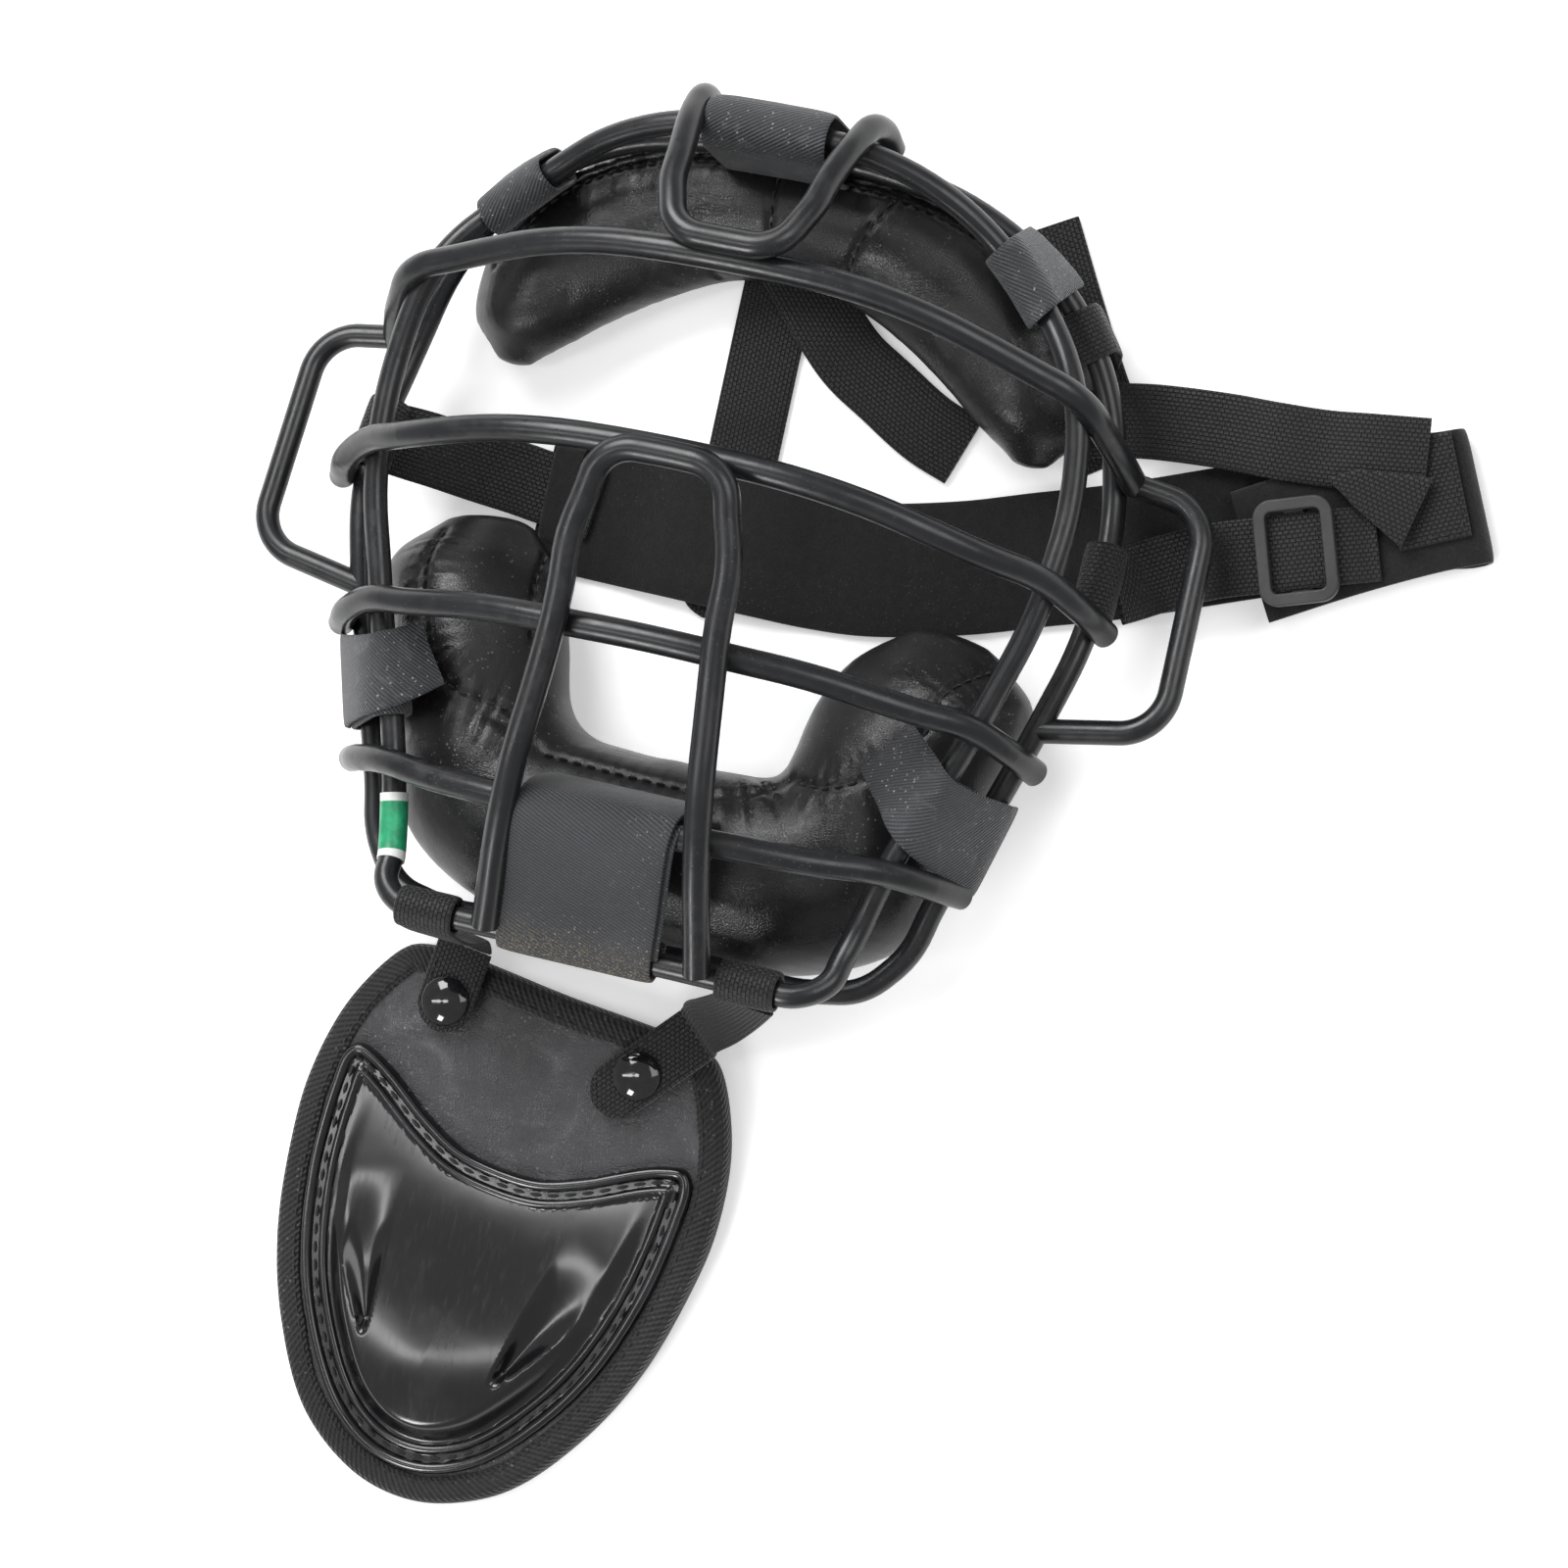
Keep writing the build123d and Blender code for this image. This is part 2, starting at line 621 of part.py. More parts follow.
def right_leg(centre, along):
    """From the right rim through the slide buckle to the folded end of the head band."""
    start = centre + right_leg_direction * ring_middle
    straight = heading(buckle_heading)
    far = buckle_middle + straight * buckle_run
    near = buckle_middle - straight * (buckle_travel + buckle_length / 2 + buckle_clearance)
    low = far + straight * webbing_drop_run
    end = Vector(low.X, low.Y, on_top_band)
    points = [start, spot(*right_rise_share, webbing_height), near, far, end]
    return list(zip(points, [along] + width_along(points)[1:]))


buckle_run = buckle_length / 2 + buckle_clearance
webbing_height = on_top_band + buckle_bar_thickness + buckle_clearance
buckle_place = (1.49, 0.252)
buckle_middle = spot(*buckle_place, webbing_height)
left_ring_shares = (-1.02, 0.087, 0.28)
right_ring_shares = (1.02, 0.087, 0.28)
parts["side_strap_left"] = looped_strap(
    rear_path, left_ring_shares, ring_radius, webbing_width, left_leg, webbing_width)
parts["side_strap_right"] = looped_strap(
    rear_path, right_ring_shares, ring_radius, webbing_width, right_leg, webbing_width)

# Crown strap: flat on the floor under the band, with a rounded lower end
crown_strap_centre = -0.07
crown_strap_top, crown_strap_end = 0.65, -0.087
strap_top = spot(crown_strap_centre, crown_strap_top, 0)
strap_end = spot(crown_strap_centre, crown_strap_end, 0)
strap_sketch = Rectangle(webbing_width, strap_top.Y - strap_end.Y)
strap_sketch = Location((strap_top + strap_end) / 2) * strap_sketch
strap_sketch = strap_sketch + Location(strap_end) * Circle(webbing_width / 2)
parts["crown_strap"] = extrude(strap_sketch, webbing_thickness)

diagonal_shares = [
    (-0.05, 0.695, 1), (0.105, 0.55, 1), (0.18, 0.49, 0), (0.28, 0.435, 0), (0.42, 0.365, 0), (0.53, 0.33, 0),
]
diagonal = [spot(x, y, on_webbing if over else webbing_low) for x, y, over in diagonal_shares]
parts["diagonal_strap"] = flat_strap(diagonal, webbing_width, webbing_thickness)

top_strap_rise_share = 0.75
top_strap_heights = [on_webbing, on_webbing + webbing_thickness, on_top_band * top_strap_rise_share,
                     on_top_band, on_top_band, on_patch, on_patch]
top_strap_shares = [(0.83, 0.45), (1.0, 0.478), (1.22, 0.49), (1.36, 0.49),
                    (1.5, 0.495), (1.61, 0.505), (1.77, 0.52)]
top_strap = [spot(x, y, z) for (x, y), z in zip(top_strap_shares, top_strap_heights)]
parts["top_strap"] = flat_strap(top_strap, webbing_width, webbing_thickness)

fold_height = on_patch + webbing_thickness + cloth_clearance - webbing_low
fold_outline = [(1.53, 0.425), (1.6, 0.462), (1.785, 0.474), (1.768, 0.306)]
parts["top_strap_fold"] = extrude(
    make_face(Polyline(*[spot(x, y, fold_height) for x, y in fold_outline], close=True)), webbing_thickness)

temple_ring_shares = (0.84, 0.63, 0.25)
temple_foot_place = (0.85, 0.63)
temple_shares = [(0.615, 0.875), (0.73, 0.694), (0.85, 0.515), (0.955, 0.38)]


def temple_strap():
    """A loop on the rim above the right temple, its tail down to a strap flat on the floor."""
    def leg(centre, along):
        out = along.cross(level).normalized()
        out = out if out.dot(centre) > 0 else out * -1
        start = centre + out * ring_middle
        foot = spot(*temple_foot_place, webbing_low)
        return [(start, along), (foot, along)]
    loop = looped_strap(rear_path, temple_ring_shares, ring_radius, temple_ring_width, leg, temple_ring_width)
    flat = flat_strap([spot(x, y, webbing_low) for x, y in temple_shares], webbing_width, webbing_thickness)
    return loop.fuse(flat)


parts["temple_strap_right"] = temple_strap()

# Slide buckle: a frame over the webbing, a bar under it, joined outside the webbing's edges
buckle_plane = Plane(origin=buckle_middle, x_dir=heading(buckle_heading), z_dir=level)
frame_low = webbing_low + buckle_clearance
frame_outline = RectangleRounded(buckle_length, buckle_width, buckle_corner)
frame_window = RectangleRounded(buckle_length - 2 * buckle_rail, buckle_width - 2 * buckle_rail,
                                buckle_corner - buckle_rail)
frame = extrude(frame_outline - frame_window, buckle_thickness)
top_edges = frame.edges().filter_by(Axis.Z, reverse=True).group_by(Axis.Z)[-1]
frame = Location((0, 0, frame_low)) * fillet(top_edges, buckle_edge)
post = Box(buckle_bar_width, buckle_rail - buckle_edge, 2 * frame_low + buckle_bar_thickness)
post_shift = (buckle_width - buckle_rail - buckle_edge) / 2 - buckle_edge / 2
bar = Box(buckle_bar_width, buckle_width - 2 * buckle_edge, buckle_bar_thickness)
bar = Location((0, 0, -frame_low - buckle_bar_thickness / 2)) * bar
for side in (-1, 1):
    frame = frame + Location((0, side * post_shift, -buckle_bar_thickness / 2)) * post
parts["slide_buckle"] = buckle_plane.location * (frame + bar)

# Throat guard, in its own frame: u across, v up towards the mask, w up from the floor
guard_plane = Plane(origin=(guard_shift, -guard_drop, 0), x_dir=heading(guard_turn), z_dir=level)
guard_place = guard_plane.location
outline_shares = [
    (0.0, 0.0), (0.68, -0.003), (0.772, -0.024), (0.935, -0.152), (1.0, -0.311), (0.976, -0.457),
    (0.894, -0.623), (0.74, -0.775), (0.504, -0.913), (0.228, -0.983), (0.0, -1.0),
]
plate_shares = [
    (0.0, -0.344), (0.195, -0.336), (0.39, -0.301), (0.6, -0.249), (0.715, -0.227), (0.805, -0.221),
    (0.855, -0.246), (0.866, -0.311), (0.839, -0.47), (0.74, -0.637), (0.585, -0.768), (0.374, -0.879),
    (0.179, -0.929), (0.0, -0.943),
]
back_low = binding_thickness
core_low = back_low + back_thickness
face_low = core_low + core_thickness
face_high = face_low + face_thickness
binding_high = face_high + binding_thickness


def guard_point(u, v):
    """A point of the guard's plane from shares of its half width and length."""
    return Vector(u * guard_half_width, v * guard_length, 0)


def symmetric_face(points):
    """A face whose right half runs from the top middle to the bottom middle."""
    left = [Vector(-p.X, p.Y, 0) for p in reversed(points[1:-1])]
    return make_face(smooth_wire(points + left, True))


def layer(face, low, thickness):
    """A flat layer of the guard."""
    return Location((0, 0, low)) * extrude(face, thickness)


def drilled(shape, radius):
    """A layer with its holes for the shanks of both snap fasteners."""
    for side in (-1, 1):
        shape = shape - Location((side * snap_half_spacing, snap_v, 0)) * Cylinder(radius, 4 * binding_high)
    return shape


snap_v = fold_line_v - snap_drop
hole_radius = shank_radius + shank_clearance
guard_face_outline = symmetric_face([guard_point(u, v) for u, v in outline_shares])
inner_outline = offset(guard_face_outline, -binding_thickness)
lip_outline = offset(guard_face_outline, -binding_width)
binding = layer(guard_face_outline, 0, binding_high) - layer(inner_outline, back_low, face_high - back_low)
binding = binding - layer(lip_outline, -binding_high, 3 * binding_high)
guard = {
    "guard_binding": binding,
    "guard_back": drilled(layer(inner_outline, back_low, back_thickness), hole_radius),
    "guard_core": drilled(layer(inner_outline, core_low, core_thickness), hole_radius),
    "guard_face": drilled(layer(inner_outline, face_low, face_thickness), hole_radius),
}

# Moulded plate: flat flange, two welts with the stitched channel between them, and a hollow dome
plate_outline = symmetric_face([guard_point(u, v) for u, v in plate_shares])
plate_low = face_high
plate_high = plate_low + plate_thickness
welt_inside = offset(plate_outline, -welt_width)
channel_inside = offset(plate_outline, -welt_width - channel_width)
inner_welt_inside = offset(plate_outline, -welt_width - channel_width - inner_welt_width)
dome_outline = offset(plate_outline, -welt_width - channel_width - inner_welt_width - dome_margin)
plate = layer(plate_outline, plate_low, plate_thickness)
plate = plate + layer(plate_outline - welt_inside, plate_high, welt_height)
plate = plate + layer(channel_inside - inner_welt_inside, plate_high, inner_welt_height)


def dome(face, low, height):
    """A low dome in two slopes on a face."""
    first = height * dome_shoulder_share
    skirt = Location((0, 0, low)) * extrude(face, first, taper=dome_skirt_taper)
    top = skirt.faces().sort_by(Axis.Z)[-1]
    crown = extrude(top, height - first, taper=dome_crown_taper)
    return skirt + crown


dome_hollow = dome(offset(dome_outline, -dome_wall), plate_low, dome_height)
dome_shell = dome(dome_outline, plate_high, dome_height + dome_wall - plate_thickness)
guard["guard_plate"] = plate + dome_shell - dome_hollow
guard["guard_dome_pad"] = dome_hollow
for name, shape in guard.items():
    parts[name] = guard_place * solid(shape)

# Snap fasteners and the strap ends that carry their caps
socket_low = binding_high + snap_gap
socket_high = socket_low + socket_height
tab_low = socket_high
tab_middle = tab_low + webbing_low


def stud():
    """The snap's stud with its shank, down through the guard."""
    flange = layer(Circle(stud_flange), face_high, stud_flange_height)
    head = layer(Circle(stud_radius), face_high, stud_height)
    shank = layer(Circle(shank_radius), back_low, face_high - back_low)
    return flange + head + shank


def post():
    """The disc that the stud's shank is clenched on, in the guard's back."""
    return layer(Circle(stud_flange), back_low - post_thickness, post_thickness)


def socket():
    """The snap's socket: a cup over the stud, closed under the tab."""
    cup = layer(Circle(socket_radius), socket_low, socket_height)
    return cup - layer(Circle(socket_bore), socket_low, socket_height - socket_wall)


def cap():
    """The domed cap over the tab, with its shank through the webbing to the socket."""
    rise = cap_height - cap_rim
    sphere_radius = (cap_radius * cap_radius + rise * rise) / (2 * rise)
    low = tab_low + webbing_thickness
    ball = Location((0, 0, low + cap_height - sphere_radius)) * Sphere(sphere_radius)
    shell = layer(Circle(cap_radius), low, cap_height) & ball
    return shell + layer(Circle(shank_radius), tab_low, webbing_thickness + cap_rim)


def strap_end(tail, lean):
    """The rounded strap end that is pressed down on the guard, leaning out and cut along the fold."""
    length = (snap_drop + guard_strap_width) / cos(radians(lean))
    bottom = -tail + guard_strap_width / 2
    flat = Location((0, (length + bottom) / 2)) * Rectangle(guard_strap_width, length - bottom)
    sketch = Rotation(0, 0, -lean) * (flat + Location((0, bottom)) * Circle(guard_strap_width / 2))
    beyond_fold = Location((0, snap_drop - tab_fold_gap + length)) * Rectangle(4 * length, 2 * length)
    return layer(sketch - beyond_fold - Circle(hole_radius), tab_low, webbing_thickness)


for word, side, tail, lean in (("left", -1, left_tab_tail, left_tab_lean),
                               ("right", 1, right_tab_tail, right_tab_lean)):
    at = guard_place * Location((side * snap_half_spacing, snap_v, 0))
    parts["snap_stud_" + word] = at * stud()
    parts["snap_post_" + word] = at * post()
    parts["snap_socket_" + word] = at * socket()
    parts["snap_cap_" + word] = at * cap()
    parts["snap_tab_" + word] = at * strap_end(tail, lean)

# Guard straps: a loop round the bottom of the front rim and a leg down to the fold above the guard
strap_ring_radius = rim_radius + strap_loop_clearance
bar_line = front_rim_points[-1]


def guard_strap(loop_x, side, lean, stations):
    """A strap with its loop on the rim and its leg down to the fold, where it leans like its tab."""
    centre = Vector(loop_x, bar_line.Y, bar_line.Z)
    along = Vector(1, 0, 0)
    outer = strap_ring_radius + webbing_thickness
    half = along * (guard_strap_width / 2)
    ring = Solid.make_cylinder(outer, guard_strap_width, Plane(centre - half, z_dir=along))
    bore = Solid.make_cylinder(strap_ring_radius, guard_strap_width * 2, Plane(centre - half * 2, z_dir=along))
    start = centre - Vector(0, strap_ring_radius + webbing_low, 0)
    fold_u = side * snap_half_spacing + snap_drop * tan(radians(lean))
    fold = guard_place * Location((fold_u, fold_line_v, tab_middle))
    end = fold.position
    spread = 1 / cos(radians(lean))
    points, across, shares = [start], [along], [1]
    for share, out, twist in stations:
        points.append(start + (end - start) * share - Vector(0, out * cage_half_length, 0))
        across.append(along - level * twist)
        shares.append(1 + (spread - 1) * share)
    fold_line = heading(guard_turn)
    stretch = list(zip(points + [end], across + [fold_line]))
    leg = ribbon(stretch, guard_strap_width, webbing_thickness, shares + [spread])
    roll_length = guard_strap_width * spread
    roll_start = end - fold_line * (roll_length / 2)
    roll = Solid.make_cylinder(fold_radius, roll_length, Plane(roll_start, z_dir=fold_line))
    return ring.fuse(leg).fuse(roll) - bore


# Each leg's stations: share of the way down, how far it bows out and how far it is twisted
left_leg_shares = [(0.3, 0.01, 0), (0.75, 0.012, 0)]
right_leg_shares = [(0.3, 0.02, 0), (0.75, 0.03, 0)]
parts["guard_strap_left"] = guard_strap(left_loop_x, -1, left_tab_lean, left_leg_shares)
parts["guard_strap_right"] = guard_strap(right_loop_x, 1, right_tab_lean, right_leg_shares)


os.makedirs("parts", exist_ok=True)
for name, shape in parts.items():
    export_step(solid(shape), f"parts/{name}.step")
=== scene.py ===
import bpy
import numpy as np
from mathutils import Matrix, Vector


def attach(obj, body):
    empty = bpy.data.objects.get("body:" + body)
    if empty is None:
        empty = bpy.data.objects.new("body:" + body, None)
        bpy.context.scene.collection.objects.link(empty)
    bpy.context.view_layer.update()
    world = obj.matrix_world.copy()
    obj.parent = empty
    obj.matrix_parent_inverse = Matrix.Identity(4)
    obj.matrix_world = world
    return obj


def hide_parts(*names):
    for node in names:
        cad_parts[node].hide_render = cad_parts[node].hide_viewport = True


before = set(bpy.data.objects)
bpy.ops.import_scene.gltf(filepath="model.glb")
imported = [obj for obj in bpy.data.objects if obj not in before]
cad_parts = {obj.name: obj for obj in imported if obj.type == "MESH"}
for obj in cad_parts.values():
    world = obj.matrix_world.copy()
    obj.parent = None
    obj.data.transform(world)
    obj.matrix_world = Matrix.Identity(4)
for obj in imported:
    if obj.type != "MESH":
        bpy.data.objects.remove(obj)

bl_info = {
    "name": "Wire face mask dressing",
    "version": (1, 0, 0),
    "blender": (4, 5, 0),
    "location": "View3D > Sidebar > Face Mask",
    "description": "Pads, woven tabs, harness and throat guard for a catcher's wire mask",
    "category": "Object",
}

# Lengths below are in millimetres, in the CAD's own frame: X across the face, Y to the top of the
# mask, Z forward out of the face, with the floor at zero. MM turns them into Blender's metres.
MM = 0.001
HALF_TURN = np.pi


# The sizes and colours that a user would change

class MaskSizes(bpy.types.PropertyGroup):
    """Sizes of the soft parts, in metres."""
    strap_width: bpy.props.FloatProperty(
        name="Strap width", description="Width of the harness webbing", default=0.02, unit="LENGTH")
    strap_thickness: bpy.props.FloatProperty(
        name="Strap thickness", description="Thickness of the harness webbing", default=0.0015, unit="LENGTH")
    band_width: bpy.props.FloatProperty(
        name="Band width", description="Width of the felt head band", default=0.036, unit="LENGTH")
    band_thickness: bpy.props.FloatProperty(
        name="Band thickness", description="Thickness of the felt head band", default=0.0024, unit="LENGTH")
    flap_width: bpy.props.FloatProperty(
        name="Flap width", description="Width of the chin flap", default=0.043, unit="LENGTH")
    pad_voxel: bpy.props.FloatProperty(
        name="Pad mesh size", description="Face size of the pads before they swell", default=0.0021,
        unit="LENGTH")
    pad_inset: bpy.props.FloatProperty(
        name="Pad start inset", description="How much smaller a pad starts, before the air swells it",
        default=0.0012, unit="LENGTH")
    pad_swell: bpy.props.FloatProperty(
        name="Pad swell", description="The most that a point of a pad may move out", default=0.0032,
        unit="LENGTH")
    pad_pressure: bpy.props.FloatProperty(
        name="Pad pressure", description="Air pressure that swells the pads", default=4.0)
    stitch_length: bpy.props.FloatProperty(
        name="Stitch length", description="Length of one stitch", default=0.0027, unit="LENGTH")


class MaskColours(bpy.types.PropertyGroup):
    """Colours of the finishes."""
    wire: bpy.props.FloatVectorProperty(
        name="Wire", description="Vinyl coating of the cage", subtype="COLOR", size=3,
        default=(0.009, 0.0095, 0.011))
    leather: bpy.props.FloatVectorProperty(
        name="Pad leather", description="Covers of the pads", subtype="COLOR", size=3,
        default=(0.009, 0.009, 0.0098))
    webbing: bpy.props.FloatVectorProperty(
        name="Webbing", description="Harness webbing", subtype="COLOR", size=3,
        default=(0.0065, 0.0065, 0.007))
    felt: bpy.props.FloatVectorProperty(
        name="Felt", description="Head band", subtype="COLOR", size=3, default=(0.0075, 0.0072, 0.0072))
    tape: bpy.props.FloatVectorProperty(
        name="Tab tape", description="Woven tabs and chin flap", subtype="COLOR", size=3,
        default=(0.04, 0.042, 0.047))
    guard: bpy.props.FloatVectorProperty(
        name="Guard leather", description="Face of the throat guard", subtype="COLOR", size=3,
        default=(0.036, 0.036, 0.039))
    binding: bpy.props.FloatVectorProperty(
        name="Binding", description="Twill binding of the throat guard", subtype="COLOR", size=3,
        default=(0.017, 0.0165, 0.0165))
    plate: bpy.props.FloatVectorProperty(
        name="Plate", description="Glossy plate of the throat guard", subtype="COLOR", size=3,
        default=(0.006, 0.006, 0.007))
    label: bpy.props.FloatVectorProperty(
        name="Label", description="Plain label on the rim", subtype="COLOR", size=3,
        default=(0.02, 0.33, 0.15))


def sizes():
    return bpy.context.scene.mask_sizes


def colours():
    return bpy.context.scene.mask_colours


# Paths, profiles and meshes

def unit(v):
    """Each vector divided by its length."""
    return v / np.maximum(np.linalg.norm(v, axis=-1, keepdims=True), 1e-9)


def smooth_path(points, count, closed=False, keys=3):
    """A curve through the points. Between two neighbours it is a cubic whose slopes come from the points
    on either side, and the samples are spaced evenly by the length of the first few columns."""
    p = np.asarray(points, float)
    if closed:
        p = np.vstack([p[-1:], p, p[:2]])
    else:
        p = np.vstack([2 * p[0] - p[1], p, 2 * p[-1] - p[-2]])
    steps = np.linalg.norm(np.diff(p[:, :keys], axis=0), axis=1) ** 0.5
    knots = np.concatenate([[0], np.cumsum(np.maximum(steps, 1e-6))])
    before = (p[1:-1] - p[:-2]) / (knots[1:-1] - knots[:-2])[:, None]
    after = (p[2:] - p[1:-1]) / (knots[2:] - knots[1:-1])[:, None]
    wide, near = (knots[2:] - knots[1:-1])[:, None], (knots[1:-1] - knots[:-2])[:, None]
    slopes = (before * wide + after * near) / (wide + near)
    p, knots = p[1:-1], knots[1:-1]
    t = np.linspace(knots[0], knots[-1], count * 8)
    i = np.clip(np.searchsorted(knots, t, side="right") - 1, 0, len(knots) - 2)
    h = (knots[i + 1] - knots[i])[:, None]
    x = (t[:, None] - knots[i][:, None]) / h
    dense = ((1 + 2 * x) * (1 - x) ** 2 * p[i] + x * (1 - x) ** 2 * h * slopes[i]
             + x * x * (3 - 2 * x) * p[i + 1] + x * x * (x - 1) * h * slopes[i + 1])
    run = np.concatenate([[0], np.cumsum(np.linalg.norm(np.diff(dense[:, :keys], axis=0), axis=1))])
    even = np.linspace(0, run[-1], count + 1)[:-1] if closed else np.linspace(0, run[-1], count)
    return np.stack([np.interp(even, run, dense[:, c]) for c in range(dense.shape[1])], axis=1)


def run_of(path):
    """The length along a path at each of its points."""
    steps = np.linalg.norm(np.diff(path, axis=0), axis=1)
    return np.concatenate([[0], np.cumsum(steps)])


def directions(path, closed=False):
    """The unit tangent at each point, from its two neighbours."""
    if closed:
        return unit(np.roll(path, -1, axis=0) - np.roll(path, 1, axis=0))
    return unit(np.gradient(path, axis=0))


def upwards(count):
    return np.broadcast_to(np.array([0.0, 0, 1]), (count, 3))


def heading_of(degrees):
    """The level direction at an angle from X."""
    return np.array([np.cos(np.radians(degrees)), np.sin(np.radians(degrees)), 0])


def carry(path, across, profile, closed=False):
    """A profile carried along a path: path + across times its first number + up times its second,
    where across is made square to the path and up is square to both."""
    along = directions(path, closed)
    across = np.broadcast_to(np.asarray(across, float), path.shape)
    across = unit(across - along * (along * across).sum(1, keepdims=True))
    up = np.cross(along, across)
    profile = np.broadcast_to(profile, (len(path),) + profile.shape[-2:])
    return path[:, None] + across[:, None] * profile[..., :1] + up[:, None] * profile[..., 1:2]


def tape_profile(width, thickness, count=28):
    """A flat closed outline with soft edges: the two powers of cosine and sine push an ellipse out
    towards its rectangle."""
    angle = np.linspace(0, 2 * HALF_TURN, count, endpoint=False)
    c, s = np.cos(angle), np.sin(angle)
    across = np.sign(c) * np.abs(c) ** 0.3 * width / 2
    return np.stack([across, np.sign(s) * np.abs(s) ** 0.55 * thickness / 2], 1)


def ring_faces(rows, columns, closed=False):
    """Quads between neighbouring rings of points, and one face over each open end."""
    index = np.arange(rows * columns).reshape(rows, columns)
    first = index if closed else index[:-1]
    second = np.roll(index, -1, axis=0) if closed else index[1:]
    faces = np.stack([first, np.roll(first, -1, axis=1), np.roll(second, -1, axis=1), second], -1)
    faces = faces.reshape(-1, 4).tolist()
    if not closed:
        faces += [index[0, ::-1].tolist(), index[-1].tolist()]
    return faces


def joined(shapes):
    """Several (points, faces, uv) as one."""
    points, faces, uvs, start = [], [], [], 0
    for p, f, uv in shapes:
        points.append(p)
        uvs.append(uv)
        faces += [[i + start for i in face] for face in f]
        start += len(p)
    return np.vstack(points), faces, np.vstack(uvs)


def turned_outwards(points, faces):
    """Faces in an order that makes the volume, the sum of a . (b x c) over their triangles, positive."""
    first = np.array([[f[0], f[i], f[i + 1]] for f in faces for i in range(1, len(f) - 1)])
    a, b, c = points[first[:, 0]], points[first[:, 1]], points[first[:, 2]]
    volume = np.einsum("ij,ij->i", a, np.cross(b, c)).sum()
    return [f[::-1] for f in faces] if volume < 0 else faces


def new_piece(name, shapes, finish, sharp=0):
    """An object from shapes of (points, faces, uv) in millimetres, with its finish and slot."""
    points, faces, uv = joined(shapes)
    mesh = bpy.data.meshes.new(name)
    mesh.from_pydata((points * MM).tolist(), [], faces)
    corners = np.zeros(len(mesh.loops), int)
    mesh.loops.foreach_get("vertex_index", corners)
    mesh.uv_layers.new(name="Weave").data.foreach_set("uv", uv[corners].ravel())
    mesh.shade_smooth()
    if sharp:
        mesh.set_sharp_from_angle(angle=np.radians(sharp))
    piece = bpy.data.objects.new(name, mesh)
    bpy.context.scene.collection.objects.link(piece)
    piece.data.materials.append(finish)
    return piece


def put(name, shapes, finish, body, replaces=(), sharp=40.0):
    """A piece from closed shapes, riding on a body."""
    shapes = [(p, turned_outwards(p - p.mean(0), f), uv) for p, f, uv in shapes]
    piece = new_piece(name, shapes, finish, sharp)
    if replaces:
        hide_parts(*replaces)
    if body:
        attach(piece, body)
    return piece


def tape(path, across, width, thickness, closed=False, taper=None, shift=0.0):
    """A woven tape along a path, as (points, faces, uv). Its UV is the length along it and the place across
    it, in millimetres. taper is a share of the width at each point."""
    profile = tape_profile(width, thickness)
    if taper is not None:
        profile = profile[None] * np.stack([taper, np.ones_like(taper)], 1)[:, None]
    rings = carry(path, across, profile, closed)
    run = run_of(path) + shift
    sides = np.broadcast_to(profile[..., 0], rings.shape[:2])
    uv = np.stack([np.broadcast_to(run[:, None], rings.shape[:2]), sides], -1).reshape(-1, 2)
    return rings.reshape(-1, 3), ring_faces(*rings.shape[:2], closed), uv


def round_end(run, radius):
    """The share of the width near a rounded end: the root of 1 - (distance past its centre / radius)^2."""
    past = run - (run[-1] - radius)
    return np.sqrt(np.clip(1 - (np.clip(past, 0, None) / radius) ** 2, 0.03, 1))


BEAD_RINGS, BEAD_SIDES = 7, 6


def beads(line, normal, length, gap, radius, lift=0.0):
    """Stitches: a row of short beads along a line. Each is seven rings of six points whose radius falls to
    a point at both ends as the root of 1 - x^2."""
    run = run_of(line)
    count = max(int(run[-1] / (length + gap)), 1)
    middle = (np.arange(count) + 0.5) * run[-1] / count
    x = np.linspace(-1, 1, BEAD_RINGS)
    at = (middle[:, None] + x[None] * length / 2).ravel()

    def pick(table):
        picked = np.stack([np.interp(at, run, table[:, c]) for c in range(3)], 1)
        return picked.reshape(count, BEAD_RINGS, 3)

    n, t = unit(pick(normal)), unit(pick(directions(line)))
    side = unit(np.cross(n, t))
    grow = radius * np.sqrt(np.clip(1 - x ** 2, 0.02, 1))
    centre = pick(line) + n * (lift + radius * 0.6 * (1 - x ** 2) - radius * 0.35)[None, :, None]
    a = np.linspace(0, 2 * HALF_TURN, BEAD_SIDES, endpoint=False)
    ring = side[:, :, None] * np.cos(a)[:, None] + n[:, :, None] * np.sin(a)[:, None]
    points = (centre[:, :, None] + ring * grow[None, :, None, None]).reshape(-1, 3)
    one = ring_faces(BEAD_RINGS, BEAD_SIDES)
    faces = [[i + k * BEAD_RINGS * BEAD_SIDES for i in f] for k in range(count) for f in one]
    uv = np.zeros((len(points), 2))
    uv[:, 0] = np.repeat(np.tile(x * length / 2, count), BEAD_SIDES)
    return points, faces, uv


def stitched(name, rows, finish, body):
    """Rows of stitches as one piece. A row is turned outwards by the volume of its first bead."""
    shapes = []
    for points, faces, uv in rows:
        block = points[:BEAD_RINGS * BEAD_SIDES]
        first = faces[:len(ring_faces(BEAD_RINGS, BEAD_SIDES))]
        if turned_outwards(block - block.mean(0), first) != first:
            faces = [f[::-1] for f in faces]
        shapes.append((points, faces, uv))
    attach(new_piece(name, shapes, finish), body)


# Cage rims, as in the CAD: right halves from the top to the bottom

